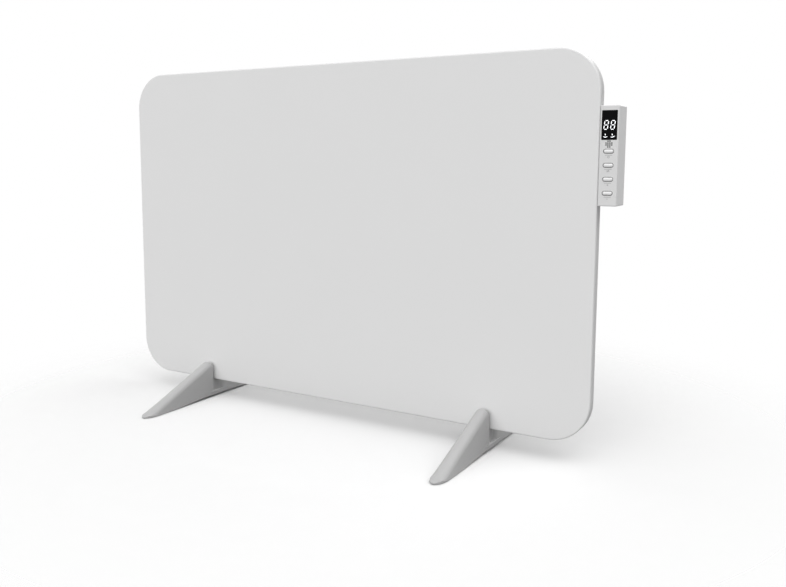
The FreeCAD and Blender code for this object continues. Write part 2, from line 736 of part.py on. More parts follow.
def plan_prism(half_w, y0, y1, radius, z0, z1):
    """Upright prism on a rounded rectangle in plan, about x = 0."""
    flat = slab(-half_w, half_w, -y1, -y0, radius, 0, z1 - z0)
    flat.rotate(vec(0, 0, 0), vec(1, 0, 0), 90)
    flat.translate(vec(0, 0, z0))
    return flat


def sill():
    """Lens-shaped foot of the waist: two long arcs that bulge past the wedges' flanks."""
    half_w, half_l = (FOOT_CROWN_W / 2 + FOOT_SILL_BULGE, FOOT_SILL_L / 2)
    tip = FOOT_CROWN_W / 2 - FOOT_SILL_BULGE
    ends = (vec(tip, half_l, 0), vec(-tip, half_l, 0), vec(-tip, -half_l, 0), vec(tip, -half_l, 0))
    edges = [
        Part.LineSegment(ends[0], ends[1]).toShape(),
        Part.Arc(ends[1], vec(-half_w, 0, 0), ends[2]).toShape(),
        Part.LineSegment(ends[2], ends[3]).toShape(),
        Part.Arc(ends[3], vec(half_w, 0, 0), ends[0]).toShape(),
    ]
    return Part.Face(Part.Wire(edges)).extrude(vec(0, 0, FOOT_SILL_H))


def both_ways(shape):
    """A front shape and its mirror image behind the panel."""
    return [shape, shape.mirror(vec(0, 0, 0), vec(0, 1, 0))]


def foot(x):
    """Moulded foot: two hollow wedges with cross ribs, joined under the panel by a waist on a sill."""
    top = ridge_z(0, 0)
    waist_half, waist_y = (FOOT_CROWN_W / 2 - FOOT_WAIST_STEP, SLOT_Y + FOOT_EDGE_R)
    waist = block(-waist_half, waist_half, -waist_y, waist_y, 0, PANEL_Z0)
    body = sill().fuse(both_ways(wedge(0)) + [waist])
    body = body.cut(block(-FOOT_W, FOOT_W, NOSE_Y, -NOSE_Y, 0, PAD_PROUD))

    hollow = wedge(FOOT_WALL)
    rib_z = PAD_PROUD + PAD_GRIP
    for i in range(FOOT_RIBS):
        y = -SLOT_Y - FOOT_WALL - (i + 1) * FOOT_RIB_PITCH
        hollow = hollow.cut(block(-FOOT_W, FOOT_W, y - FOOT_RIB_T / 2, y + FOOT_RIB_T / 2, rib_z, top))
    body = body.cut(both_ways(hollow))

    arch_r = (FOOT_ARCH_SPAN ** 2 / 4 + FOOT_ARCH_H ** 2) / (2 * FOOT_ARCH_H)
    arch_z = PAD_PROUD + FOOT_ARCH_H - arch_r
    body = body.cut(rod(arch_r, vec(-FOOT_W, 0, arch_z), vec(FOOT_W, 0, arch_z)))

    body = body.cut(rod(FOOT_SCREW_R + SCREW_CLEAR, vec(0, 0, 0), vec(0, 0, top)))
    body = body.cut(rod(FOOT_SCREW_HEAD_R + FOOT_SCREW_HEAD_CLEAR, vec(0, 0, 0), vec(0, 0, FOOT_SCREW_SEAT)))
    body = body.removeSplitter()
    body.translate(vec(x, 0, 0))
    return body


def foot_pads(x):
    """Two rubber plugs gripped in the mouths of a foot's hollow, standing a little proud of it."""
    start = NOSE_Y + PAD_FROM_NOSE
    top = PAD_PROUD + PAD_GRIP
    half = flank_x(start, top, FOOT_WALL) - PAD_CLEAR
    pad = plan_prism(half, start, start + PAD_L, PAD_CORNER_R, 0, top)
    pads = group(both_ways(pad))
    pads.translate(vec(x, 0, 0))
    return pads


def foot_screws():
    length = RAIL_Z0 + RAIL_T + ANCHOR_H - FOOT_SCREW_SEAT
    return group([
        screw(
            FOOT_SCREW_R, FOOT_SCREW_HEAD_R, FOOT_SCREW_HEAD_H, length,
            vec(x, 0, FOOT_SCREW_SEAT), vec(0, 0, 1),
        )
        for x in FOOT_XS
    ])


def box_outline(inset, y0, y1, front_y):
    """Solid of the control box's form, an L in plan, drawn in by inset at its sides and ends."""
    z0, z1 = (BOX_Z0 + inset, BOX_Z1 - inset)
    beside = block(BOX_X1 + inset, BOX_X2 - inset, front_y, y1, z0, z1)
    behind = block(BOX_X0 + inset, BOX_X2 - inset, y0, y1, z0, z1)
    return beside.fuse(behind).removeSplitter()


def sound_hole_places():
    """Square grid without its corners."""
    last = SOUND_ROWS - 1
    return [
        (BOX_XC + (i - last / 2) * SOUND_PITCH, SOUND_Z + (j - last / 2) * SOUND_PITCH)
        for i in range(SOUND_ROWS)
        for j in range(SOUND_ROWS)
        if not (i in (0, last) and j in (0, last))
    ]


def control_housing():
    """Moulded shell, open at the back: face with window, sound holes and button holes, bosses inside.

    The skin is thinned from inside round the sound holes.
    """
    shell = box_outline(0.0, BACK_Y, BOX_COVER_Y, BOX_Y0)
    corners = [(x, z) for x in (BOX_X0, BOX_X2) for z in (BOX_Z0, BOX_Z1)]
    shell = shell.makeFillet(BOX_CORNER_R, edges_along_y(shell, corners))
    shell = shell.makeFillet(BOX_EDGE_R, edges_at(shell, "Y", BOX_Y0))
    shell = shell.cut(box_outline(BOX_WALL, BOX_LAP_Y, BOX_COVER_Y + BOX_WALL, BOX_FACE_Y))

    inside = box_outline(BOX_WALL / 2, BACK_Y + BOX_WALL / 2, BOX_COVER_Y, BOX_Y0 + BOX_FACE_T / 2)
    bosses = [
        rod(BOX_BOSS_R, vec(x, y, z), vec(x, BOX_COVER_Y, z)).common(inside) for x, z, y in box_boss_places()
    ]
    bosses += [
        rod(BOSS_R, vec(x, BOX_FACE_Y, z), vec(x, CONTROL_BOARD_Y, z))
        for x, z in control_board_screw_places()
    ]
    bosses += [
        rod(BOSS_R, vec(x, BOX_LAP_Y, z), vec(x, POWER_BOARD_Y, z)) for x, z in power_board_screw_places()
    ]
    shell = shell.fuse(bosses)

    for x, z, y in box_boss_places():
        pilot_y = BOX_COVER_Y - 2 * BOSS_DEPTH
        shell = shell.cut(rod(SMALL_SCREW_R + SCREW_CLEAR, vec(x, pilot_y, z), vec(x, BOX_COVER_Y, z)))
    for x, z in control_board_screw_places():
        shell = shell.cut(rod(BOARD_SCREW_R + SCREW_CLEAR, vec(x, BOX_FACE_Y, z), vec(x, CONTROL_BOARD_Y, z)))
    for x, z in power_board_screw_places():
        shell = shell.cut(rod(BOARD_SCREW_R + SCREW_CLEAR, vec(x, BOX_LAP_Y, z), vec(x, POWER_BOARD_Y, z)))

    c = LENS_CLEAR
    shell = shell.cut(slab(
        BOX_XC - LENS_W / 2 - c, BOX_XC + LENS_W / 2 + c, LENS_Z0 - c, LENS_Z1 + c, LENS_R,
        BOX_Y0 - OVERCUT, BOX_Y0 + LENS_T,
    ))
    shell = shell.cut(block(
        BOX_XC - LENS_W / 2 + WINDOW_RIM, BOX_XC + LENS_W / 2 - WINDOW_RIM, BOX_Y0, BOX_FACE_Y + OVERCUT,
        LENS_Z0 + WINDOW_RIM, LENS_Z1 - WINDOW_RIM,
    ))
    pocket_r = SOUND_HOLE_R + SOUND_POCKET_RIM
    pocket_r += max(math.hypot(x - BOX_XC, z - SOUND_Z) for x, z in sound_hole_places())
    shell = shell.cut(rod(
        pocket_r, vec(BOX_XC, BOX_Y0 + SOUND_SKIN, SOUND_Z), vec(BOX_XC, BOX_FACE_Y + OVERCUT, SOUND_Z)
    ))
    for x, z in sound_hole_places():
        shell = shell.cut(hole_y(SOUND_HOLE_R, x, z, BOX_Y0, BOX_FACE_Y))
    for z in BUTTON_ZS:
        shell = shell.cut(pill(
            BOX_XC, z, BUTTON_W + 2 * BUTTON_CLEAR, BUTTON_H + 2 * BUTTON_CLEAR,
            BOX_Y0 - OVERCUT, BOX_FACE_Y + OVERCUT,
        ))
    for x, z in mount_screw_places():
        shell = shell.cut(hole_y(COVER_SCREW_R + SCREW_CLEAR, x, z, BACK_Y, BOX_LAP_Y))
    shell = shell.cut(hole_y(GROMMET_NECK_R, GROMMET_X, GROMMET_Z, BACK_Y, BOX_LAP_Y))
    shell = shell.cut(rod(
        GLAND_THREAD_R + SCREW_CLEAR,
        vec(GLAND_X, GLAND_Y, BOX_Z0 - OVERCUT),
        vec(GLAND_X, GLAND_Y, BOX_Z0 + BOX_WALL + OVERCUT),
    ))
    return shell.removeSplitter()


def control_back_cover():
    """Rear cover with rounded edges, a locating lip, screw holes and a row of vents."""
    cover = slab(BOX_X0, BOX_X2, BOX_Z0, BOX_Z1, BOX_CORNER_R, BOX_COVER_Y, BOX_Y1)
    cover = cover.makeFillet(BOX_EDGE_R, edges_at(cover, "Y", BOX_Y1))
    edge = BOX_WALL + BOX_LIP_CLEAR
    lip_y = BOX_COVER_Y - BOX_LIP_H
    lip_inside = box_outline(edge + BOX_LIP_T, lip_y, BOX_COVER_Y, lip_y)
    lip = box_outline(edge, lip_y, BOX_COVER_Y, lip_y).cut(lip_inside)
    for x, z, y in box_boss_places():
        lip = lip.cut(rod(BOX_BOSS_R + BOX_LIP_CLEAR, vec(x, lip_y, z), vec(x, BOX_COVER_Y, z)))
    nut_r = GLAND_NUT_ACROSS / math.sqrt(3) + BOX_LIP_CLEAR
    lip = lip.cut(rod(nut_r, vec(GLAND_X, GLAND_Y, BOX_Z0), vec(GLAND_X, GLAND_Y, BOX_Z0 + 2 * edge)))
    cover = cover.fuse(lip)
    for x, z, y in box_boss_places():
        cover = cover.cut(rod(SMALL_SCREW_R + SCREW_CLEAR, vec(x, lip_y, z), vec(x, BOX_Y1 + OVERCUT, z)))
    x = (BOX_X0 + PANEL_X1) / 2
    for i in range(VENT_COUNT):
        z = BOX_ZC + (i - (VENT_COUNT - 1) / 2) * VENT_PITCH
        cover = cover.cut(pill(x, z, VENT_L, VENT_W, BOX_COVER_Y - OVERCUT, BOX_Y1 + OVERCUT))
    return cover.removeSplitter()


def control_cover_screws():
    return group([
        screw(
            SMALL_SCREW_R, SMALL_SCREW_HEAD_R, SMALL_SCREW_HEAD_H, BOX_COVER_T + BOSS_DEPTH,
            vec(x, BOX_Y1, z), vec(0, -1, 0),
        )
        for x, z, y in box_boss_places()
    ])


def control_mounting_screws():
    """From inside the control box through its wall and the rear cover into the backing plate."""
    return group([
        screw(
            COVER_SCREW_R, COVER_SCREW_HEAD_R, COVER_SCREW_HEAD_H, BOX_LAP_Y - PLATE_Y,
            vec(x, BOX_LAP_Y, z), vec(0, -1, 0),
        )
        for x, z in mount_screw_places()
    ])


def rear_cover_screws():
    return group([
        screw(
            COVER_SCREW_R, COVER_SCREW_HEAD_R, COVER_SCREW_HEAD_H, COVER_SCREW_L,
            vec(x, BACK_Y, z), vec(0, -1, 0),
        )
        for x, z in cover_screw_places()
    ])


def display_lens():
    return slab(
        BOX_XC - LENS_W / 2, BOX_XC + LENS_W / 2, LENS_Z0, LENS_Z1, LENS_R, BOX_Y0, BOX_Y0 + LENS_T
    )


def display_module():
    """Lamp block of the display: stands on the control board and reaches through the window to the lens."""
    rim = WINDOW_RIM + DISPLAY_CLEAR
    return block(
        BOX_XC - LENS_W / 2 + rim, BOX_XC + LENS_W / 2 - rim, BOX_Y0 + LENS_T, CONTROL_BOARD_Y,
        LENS_Z0 + rim, LENS_Z1 - rim,
    )


def control_board():
    margin = BOX_WALL + CONTROL_BOARD_MARGIN
    y0, y1 = (CONTROL_BOARD_Y, CONTROL_BOARD_Y + BOARD_T)
    board = block(BOX_X1 + margin, BOX_X2 - margin, y0, y1, CONTROL_BOARD_Z0, CONTROL_BOARD_Z1)
    for x, z in control_board_screw_places():
        board = board.cut(hole_y(BOARD_SCREW_R + SCREW_CLEAR, x, z, y0, y1))
    for x, z, y in box_boss_places():
        board = board.cut(rod(BOX_BOSS_R + BOX_LIP_CLEAR, vec(x, BOX_FACE_Y, z), vec(x, BOX_COVER_Y, z)))
    return board


def board_screws(places, board_y, length):
    return group([
        screw(
            BOARD_SCREW_R, BOARD_SCREW_HEAD_R, BOARD_SCREW_HEAD_H, length,
            vec(x, board_y + BOARD_T, z), vec(0, -1, 0),
        )
        for x, z in places
    ])


def buzzer():
    """Round sounder behind the sound holes, with its own small outlet."""
    y0 = CONTROL_BOARD_Y - BUZZER_H
    body = rod(BUZZER_R, vec(BOX_XC, y0, SOUND_Z), vec(BOX_XC, CONTROL_BOARD_Y, SOUND_Z))
    return body.cut(rod(SOUND_HOLE_R, vec(BOX_XC, y0, SOUND_Z), vec(BOX_XC, y0 + BUZZER_H / 2, SOUND_Z)))


def plunger_back():
    """Depth of a switch plunger's rear end at rest."""
    return BOX_FACE_Y + BUTTON_PLAY + BUTTON_FLANGE_T + STEM_L + PLUNGER_L


def tact_switches():
    """Four switch bodies on the control board, each with a socket for its plunger."""
    y0 = CONTROL_BOARD_Y - SWITCH_H
    half = SWITCH_SIZE / 2
    socket_y = plunger_back() + BUTTON_TRAVEL + PLUNGER_CLEAR
    bodies = []
    for z in BUTTON_ZS:
        body = block(BOX_XC - half, BOX_XC + half, y0, CONTROL_BOARD_Y, z - half, z + half)
        socket = rod(PLUNGER_R + PLUNGER_CLEAR, vec(BOX_XC, y0 - OVERCUT, z), vec(BOX_XC, socket_y, z))
        bodies.append(body.cut(socket))
    return group(bodies)


def button(z):
    """Key with a full-round cap through the face, a flange that keeps it in and a stem to its switch."""
    y = BOX_FACE_Y + BUTTON_PLAY
    round_r = BUTTON_H / 2
    top_y = BOX_Y0 - BUTTON_PROUD
    crown_y = top_y + round_r
    half = BUTTON_W / 2 - round_r
    ends = (vec(BOX_XC - half, crown_y, z), vec(BOX_XC + half, crown_y, z))
    crown = rod(round_r, *ends).fuse([Part.makeSphere(round_r, end) for end in ends])
    crown = crown.common(pill(BOX_XC, z, BUTTON_W, BUTTON_H, top_y, crown_y))
    cap = pill(BOX_XC, z, BUTTON_W, BUTTON_H, crown_y, y).fuse(crown)
    spread = 2 * (BUTTON_CLEAR + BUTTON_FLANGE)
    flange = pill(BOX_XC, z, BUTTON_W + spread, BUTTON_H + spread, y, y + BUTTON_FLANGE_T)
    stem = rod(STEM_R, vec(BOX_XC, y, z), vec(BOX_XC, y + BUTTON_FLANGE_T + STEM_L, z))
    return cap.fuse([flange, stem]).removeSplitter()


def plunger(z):
    back = plunger_back()
    return rod(PLUNGER_R, vec(BOX_XC, back - PLUNGER_L, z), vec(BOX_XC, back, z))


def power_board():
    board = block(POWER_X0, POWER_X1, POWER_BOARD_Y, POWER_FACE_Y, POWER_Z0, POWER_Z1)
    for x, z in power_board_screw_places():
        board = board.cut(hole_y(BOARD_SCREW_R + SCREW_CLEAR, x, z, POWER_BOARD_Y, POWER_FACE_Y))
    return board.cut(hole_y(GROMMET_NECK_R, GROMMET_X, GROMMET_Z, POWER_BOARD_Y, POWER_FACE_Y))


def board_part(size, x0, z0):
    """Box-shaped component on the power board with softened edges; x0 and z0 are its lower corner."""
    width, length, height, edge_r = size
    y1 = POWER_FACE_Y + height
    body = slab(x0, x0 + width, z0, z0 + length, edge_r, POWER_FACE_Y, y1)
    return body.makeFillet(edge_r / 2, edges_at(body, "Y", y1))


def column_places():
    """Lower ends of the components along the panel's edge, spread evenly over the power board's height."""
    column = {
        "tilt_switch": TILT_SWITCH,
        "transformer": TRANSFORMER,
        "signal_connector": SIGNAL_PLUG,
        "relay": RELAY,
    }
    low, high = (POWER_Z0 + COLUMN_INSET, POWER_Z1 - COLUMN_INSET)
    free = high - low - sum(size[1] for size in column.values())
    gap = free / (len(column) + 1)
    places = {}
    z = low + gap
    for name, size in column.items():
        places[name] = (size, z)
        z += size[1] + gap
    return places


def power_parts():
    """Components on the power board: one column over the leads, one column along the panel's edge."""
    right = POWER_X1 - PART_INSET
    left = POWER_X0 + PART_INSET
    block_w, block_l, block_h, block_r = TERMINAL_BLOCK
    terminal = board_part(TERMINAL_BLOCK, GROMMET_X - block_w / 2, GROMMET_Z - block_l / 2)
    for side in (-1, 1):
        z = GROMMET_Z + side * LEAD_PITCH / 2
        end = POWER_FACE_Y + LEAD_SOCKET_DEPTH
        socket = rod(LEAD_R, vec(GROMMET_X, POWER_FACE_Y - OVERCUT, z), vec(GROMMET_X, end, z))
        terminal = terminal.cut(socket)
        clamp_z = GROMMET_Z + side * block_l / 4
        terminal = terminal.cut(rod(
            BOARD_SCREW_HEAD_R, vec(GROMMET_X, POWER_FACE_Y + block_h - CLAMP_DEPTH, clamp_z),
            vec(GROMMET_X, POWER_FACE_Y + block_h + OVERCUT, clamp_z),
        ))
    fuse_z = GROMMET_Z - block_l / 2 - FUSE_GAP - FUSE[1]
    parts = {"terminal_block": terminal, "mains_fuse": board_part(FUSE, left, fuse_z)}
    for name, (size, z) in column_places().items():
        parts[name] = board_part(size, right - size[0], z)
    return parts


def signal_ribbon():
    """Flat cable from the back of the control board, round one bend, to the connector on the power board."""
    z0 = column_places()["signal_connector"][1] + (SIGNAL_PLUG[1] - RIBBON_W) / 2
    x = BOX_X1 + BOX_WALL + CONTROL_BOARD_MARGIN + RIBBON_BEND_R
    y0 = CONTROL_BOARD_Y + BOARD_T
    y = POWER_FACE_Y + SIGNAL_PLUG[2] / 2
    end_x = POWER_X1 - PART_INSET
    r, t = (RIBBON_BEND_R, RIBBON_T)
    s = math.sqrt(0.5)
    centre = vec(x - r, y - r, z0)
    inner = Part.Arc(
        vec(x, y - r, z0), centre.add(vec(r * s, r * s, 0)), vec(x - r, y, z0)
    )
    outer = Part.Arc(
        vec(x - r, y + t, z0), centre.add(vec((r + t) * s, (r + t) * s, 0)), vec(x + t, y - r, z0)
    )
    edges = [
        Part.LineSegment(vec(x, y0, z0), vec(x, y - r, z0)),
        inner,
        Part.LineSegment(vec(x - r, y, z0), vec(end_x, y, z0)),
        Part.LineSegment(vec(end_x, y, z0), vec(end_x, y + t, z0)),
        Part.LineSegment(vec(end_x, y + t, z0), vec(x - r, y + t, z0)),
        outer,
        Part.LineSegment(vec(x + t, y - r, z0), vec(x + t, y0, z0)),
        Part.LineSegment(vec(x + t, y0, z0), vec(x, y0, z0)),
    ]
    return Part.Face(Part.Wire([edge.toShape() for edge in edges])).extrude(vec(0, 0, RIBBON_W))


def cord_gland():
    """Turned gland under the control box: tapered head outside, threaded neck inside, open bore."""
    top = BOX_Z0 + BOX_WALL + GLAND_INNER_L
    low = BOX_Z0 - GLAND_HEAD_L
    profile = Part.makePolygon([
        vec(GLAND_BORE_R, 0, low), vec(GLAND_TIP_R, 0, low), vec(GLAND_HEAD_R, 0, BOX_Z0 - GLAND_HEAD_L / 2),
        vec(GLAND_HEAD_R, 0, BOX_Z0), vec(GLAND_THREAD_R, 0, BOX_Z0), vec(GLAND_THREAD_R, 0, top),
        vec(GLAND_BORE_R, 0, top), vec(GLAND_BORE_R, 0, low),
    ])
    gland = Part.Face(profile).revolve(vec(0, 0, 0), vec(0, 0, 1), 360)
    gland.translate(vec(GLAND_X, GLAND_Y, 0))
    return gland


def gland_nut():
    """Hexagon nut that holds the gland from inside."""
    z = BOX_Z0 + BOX_WALL
    corner = GLAND_NUT_ACROSS / math.sqrt(3)
    points = [
        vec(GLAND_X + corner * math.sin(math.radians(a)), GLAND_Y + corner * math.cos(math.radians(a)), z)
        for a in range(30, 391, 60)
    ]
    nut = Part.Face(Part.makePolygon(points)).extrude(vec(0, 0, GLAND_NUT_T))
    return nut.cut(rod(GLAND_THREAD_R, vec(GLAND_X, GLAND_Y, z), vec(GLAND_X, GLAND_Y, z + GLAND_NUT_T)))


def heater():
    """Every piece of the heater by name."""
    left_x, right_x = FOOT_XS
    pieces = {
        "front_panel": front_panel(),
        "heating_film": inset_slab(FILM_MARGIN, FILM_Y0, FILM_Y1),
        "copper_busbars": copper_busbars(),
        "reflector_foil": reflector_foil(),
        "insulation_board": insulation_board(),
        "rear_cover": rear_cover(),
        "rear_cover_screws": rear_cover_screws(),
        "wall_mount_inserts": wall_mount_inserts(),
        "control_backing_plate": control_backing_plate(),
        "thermal_cutout": thermal_cutout(),
        "temperature_probe": temperature_probe(),
        "lead_grommet": lead_grommet(),
        "upper_heater_lead": heater_lead(1),
        "lower_heater_lead": heater_lead(-1),
        "left_foot_anchor": foot_anchor(left_x),
        "right_foot_anchor": foot_anchor(right_x),
        "left_foot": foot(left_x),
        "right_foot": foot(right_x),
        "left_foot_pads": foot_pads(left_x),
        "right_foot_pads": foot_pads(right_x),
        "foot_screws": foot_screws(),
        "control_housing": control_housing(),
        "control_back_cover": control_back_cover(),
        "control_cover_screws": control_cover_screws(),
        "control_mounting_screws": control_mounting_screws(),
        "display_lens": display_lens(),
        "display_module": display_module(),
        "control_board": control_board(),
        "control_board_screws": board_screws(
            control_board_screw_places(), CONTROL_BOARD_Y, BOARD_T + CONTROL_BOARD_GAP / 2
        ),
        "buzzer": buzzer(),
        "tact_switches": tact_switches(),
        "power_board": power_board(),
        "power_board_screws": board_screws(
            power_board_screw_places(), POWER_BOARD_Y, BOARD_T + POWER_BOARD_GAP
        ),
        "signal_ribbon": signal_ribbon(),
        "cord_gland": cord_gland(),
        "gland_nut": gland_nut(),
    }
    pieces.update(rails())
    pieces.update(power_parts())
    for name, z in zip(BUTTON_NAMES, BUTTON_ZS):
        pieces[name + "_button"] = button(z)
        pieces[name + "_switch_plunger"] = plunger(z)
    return pieces


def main():
    os.makedirs("parts", exist_ok=True)
    for name, shape in heater().items():
        if not shape.isValid():
            raise ValueError(name + " is not a valid shape")
        shape.exportStep(os.path.join("parts", name + ".step"))
        print(name, len(shape.Solids), round(shape.Volume, 1))


main()
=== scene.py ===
# %% [markdown]
# # An infrared panel heater, dressed for its photograph
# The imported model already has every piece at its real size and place, in metres, with +Z up and the front
# towards -Y. This lesson gives those pieces their finishes, adds what is printed, lit or screwed on them, and
# sets up the studio. Nothing that came with the model is moved: a new piece is placed by measuring its neighbours.

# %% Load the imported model
import json
import math

import bmesh
import bpy
import numpy as np
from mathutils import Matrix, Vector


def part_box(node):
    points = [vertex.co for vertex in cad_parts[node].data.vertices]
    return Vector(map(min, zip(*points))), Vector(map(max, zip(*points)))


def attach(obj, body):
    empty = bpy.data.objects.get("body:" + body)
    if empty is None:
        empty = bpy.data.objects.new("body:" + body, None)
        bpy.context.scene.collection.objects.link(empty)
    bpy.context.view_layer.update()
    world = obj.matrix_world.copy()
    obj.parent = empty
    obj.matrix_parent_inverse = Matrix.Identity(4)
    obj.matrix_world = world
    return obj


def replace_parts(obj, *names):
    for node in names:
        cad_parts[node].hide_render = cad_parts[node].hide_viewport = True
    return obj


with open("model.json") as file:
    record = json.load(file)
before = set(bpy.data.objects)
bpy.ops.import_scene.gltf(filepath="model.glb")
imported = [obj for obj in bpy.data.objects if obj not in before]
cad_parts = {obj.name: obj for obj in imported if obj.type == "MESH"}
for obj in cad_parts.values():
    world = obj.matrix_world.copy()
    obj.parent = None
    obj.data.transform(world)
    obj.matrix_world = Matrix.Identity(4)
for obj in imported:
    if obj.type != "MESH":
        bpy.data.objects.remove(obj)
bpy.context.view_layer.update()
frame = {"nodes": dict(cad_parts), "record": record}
MM = 0.001
HEATER = "heater"

# %% [markdown]
# ## The camera
# The photograph is taken from the front, to the right of the heater and a little above it. A camera could be
# aimed by eye, but the panel's four corners and both feet fix it exactly: its place, its turn and its focal
# length in pixels. The picture's centre lies a little off the lens's axis, which is what the small shift is for.

# %% Camera at the photograph's viewpoint
PICTURE_W, PICTURE_H = 786, 587
FOCAL_PX = 848.0
AXIS_PX = (358.2, 260.4)
CAMERA_PLACE_MM = (820.0, -1252.5, 476.0)
CAMERA_YAW_DEG = 32.03
CAMERA_DOWN_DEG = 7.08

camera_data = bpy.data.cameras.new("camera")
camera_data.lens = FOCAL_PX / PICTURE_W * camera_data.sensor_width
camera_data.shift_x = (PICTURE_W / 2 - AXIS_PX[0]) / PICTURE_W
camera_data.shift_y = (AXIS_PX[1] - PICTURE_H / 2) / PICTURE_W
camera = bpy.data.objects.new("camera", camera_data)
camera.location = [v * MM for v in CAMERA_PLACE_MM]
camera.rotation_euler = (math.radians(90 - CAMERA_DOWN_DEG), 0, math.radians(CAMERA_YAW_DEG))
bpy.context.scene.collection.objects.link(camera)
bpy.context.scene.camera = camera
bpy.context.scene.view_settings.view_transform = "Standard"
print("lens", round(camera_data.lens, 2), "mm, shift", round(camera_data.shift_x, 4), round(camera_data.shift_y, 4))

# %% [markdown]
# ## Helpers for shader nodes
# A finish is a small net of nodes. One function turns the sRGB hex value that a colour card gives into the linear
# numbers that a shader needs, and one turns a pattern's real size into a texture's scale. The others add one node,
# start a new finish, and link its results to the shader, so that each finish below reads like a recipe.


# %% Colour and scale
def linear(hex_colour):
    """sRGB hex to linear RGBA: c / 12.92 below 0.04045, else ((c + 0.055) / 1.055) ** 2.4."""
    srgb = np.array([int(hex_colour[i:i + 2], 16) for i in (1, 3, 5)]) / 255
    rgb = np.where(srgb <= 0.04045, srgb / 12.92, ((srgb + 0.055) / 1.055) ** 2.4)
    return (*rgb.tolist(), 1.0)


def every(size_mm):
    """Texture scale at which one cell of a pattern is size_mm wide: 1 / size in metres."""
    return 1 / (size_mm * MM)


print("mid grey #808080 is linear", round(linear("#808080")[0], 4), "and 2 mm is scale", every(2))


# %% Nodes
def add(tree, kind, inputs=None, **settings):
    """Adds one node; inputs gives each socket a plain value or the output that feeds it."""
    made = tree.nodes.new("ShaderNode" + kind)
    for name, value in settings.items():
        setattr(made, name, value)
    for socket, value in (inputs or {}).items():
        if isinstance(value, bpy.types.NodeSocket):
            tree.links.new(value, made.inputs[socket])
        else:
            made.inputs[socket].default_value = value
    return made


def start(name, **sockets):
    """New material with a Principled shader; returns it with its node tree, shader and object coordinates."""
    material = bpy.data.materials.new(name)
    material.use_nodes = True
    tree = material.node_tree
    tree.nodes.clear()
    shader = add(tree, "BsdfPrincipled", {k.replace("_", " "): v for k, v in sockets.items()})
    add(tree, "OutputMaterial", {"Surface": shader.outputs["BSDF"]})
    place = add(tree, "TexCoord").outputs["Object"]
    return material, tree, shader, place


def wire(tree, shader, outputs):
    """Links each output to the shader's socket of that name."""
    for socket, output in outputs.items():
        tree.links.new(output, shader.inputs[socket])


print("helpers", add.__name__, start.__name__, wire.__name__)

# %% [markdown]
# ## The studio
# The heater stands on a pale floor that runs out into white. A white backdrop could be lit until it is white, but
# that would flood the white heater too. Here the world is white only for what looks straight at it, or sees it in
# a reflection or through glass, and gives a softer light to everything else. The floor fades out with the distance
# from the heater, so its edge never shows, and near the heater it keeps the shadow.

# %% World: white to look at, softer as a light
SKY_LIGHT = 0.28
WHITE = (1.0, 1.0, 1.0, 1.0)


def looked_at(tree):
    """1 for a ray from the camera, from a reflection or through glass, else 0: the largest of the three."""
    ray = add(tree, "LightPath").outputs
    seen = add(tree, "Math", {0: ray["Is Camera Ray"], 1: ray["Is Glossy Ray"]}, operation="MAXIMUM")
    seen = add(tree, "Math", {0: seen.outputs[0], 1: ray["Is Transmission Ray"]}, operation="MAXIMUM")
    return seen.outputs[0]


world = bpy.data.worlds.new("studio")
world.use_nodes = True
sky = world.node_tree
sky.nodes.clear()
soft = add(sky, "Background", {"Color": WHITE, "Strength": SKY_LIGHT})
white = add(sky, "Background", {"Color": WHITE, "Strength": 1.0})
both = add(sky, "MixShader", {0: looked_at(sky), 1: soft.outputs[0], 2: white.outputs[0]})
add(sky, "OutputWorld", {"Surface": both.outputs[0]})
bpy.context.scene.world = world
print("sky light", SKY_LIGHT)

# %% [markdown]
# ### Soft lamps
# A studio has wide panels of diffused light. A distant lamp with a wide angle does the same, and it is as strong at
# one end of the heater as at the other. Each lamp was tried alone, and the mix was kept that comes nearest to the
# photograph on the panel, the box's side, the feet and the shadows. The lamp behind is for looking at the back, which
# the photograph doesn't show: it leaves the floor alone and its light isn't passed on, so the front stays as it is.
# The low front lamp would be a glare in the window, so reflections don't see it.


# %% Lamps: broad, even and soft, as from large panels far away
def soft_lamp(name, azimuth_deg, elevation_deg, share, spread_deg):
    """Distant lamp: azimuth 0 is in front and 90 to the right; share is how bright it makes white that faces it."""
    lamp = bpy.data.lights.new(name, "SUN")
    lamp.energy = share * math.pi
    lamp.angle = math.radians(spread_deg)
    holder = bpy.data.objects.new(name, lamp)
    holder.rotation_euler = (math.radians(90 - elevation_deg), 0, math.radians(azimuth_deg))
    bpy.context.scene.collection.objects.link(holder)
    return holder


# Azimuth and elevation in degrees, share of full white, and spread in degrees.
LAMPS = {
    "front_lamp": (-5, 10, 0.43, 40),
    "high_lamp": (37, 66, 0.32, 50),
    "left_lamp": (-40, 40, 0.09, 50),
    "right_lamp": (85, 55, 0.17, 50),
    "rear_lamp": (125, 44, 0.17, 50),
    "back_lamp": (180, 38, 0.45, 20),
}
lamps = {lamp_name: soft_lamp(lamp_name, *setting) for lamp_name, setting in LAMPS.items()}
lamps["front_lamp"].visible_glossy = False
lamps["back_lamp"].data.cycles.max_bounces = 0
print("lamps", LAMPS)

# %% [markdown]
# ### The floor
# The floor is one broad sheet, a grid in two directions. Its paint is a plain matt white, and its cover fades with
# the distance from the heater by a smooth ramp, so that the studio has no horizon. It is white to look at, but it
# sends back only as much light as a mid grey would, which keeps the shade on the feet and under the panel.

# %% Floor paint that fades out
FADE_FROM, FADE_TO = 0.3, 0.95
FADE_CENTRE = (0.03, 0.05, 0.0)
FLOOR_BOUNCE = "#828282"
FLOOR_GRAIN_MM = 40

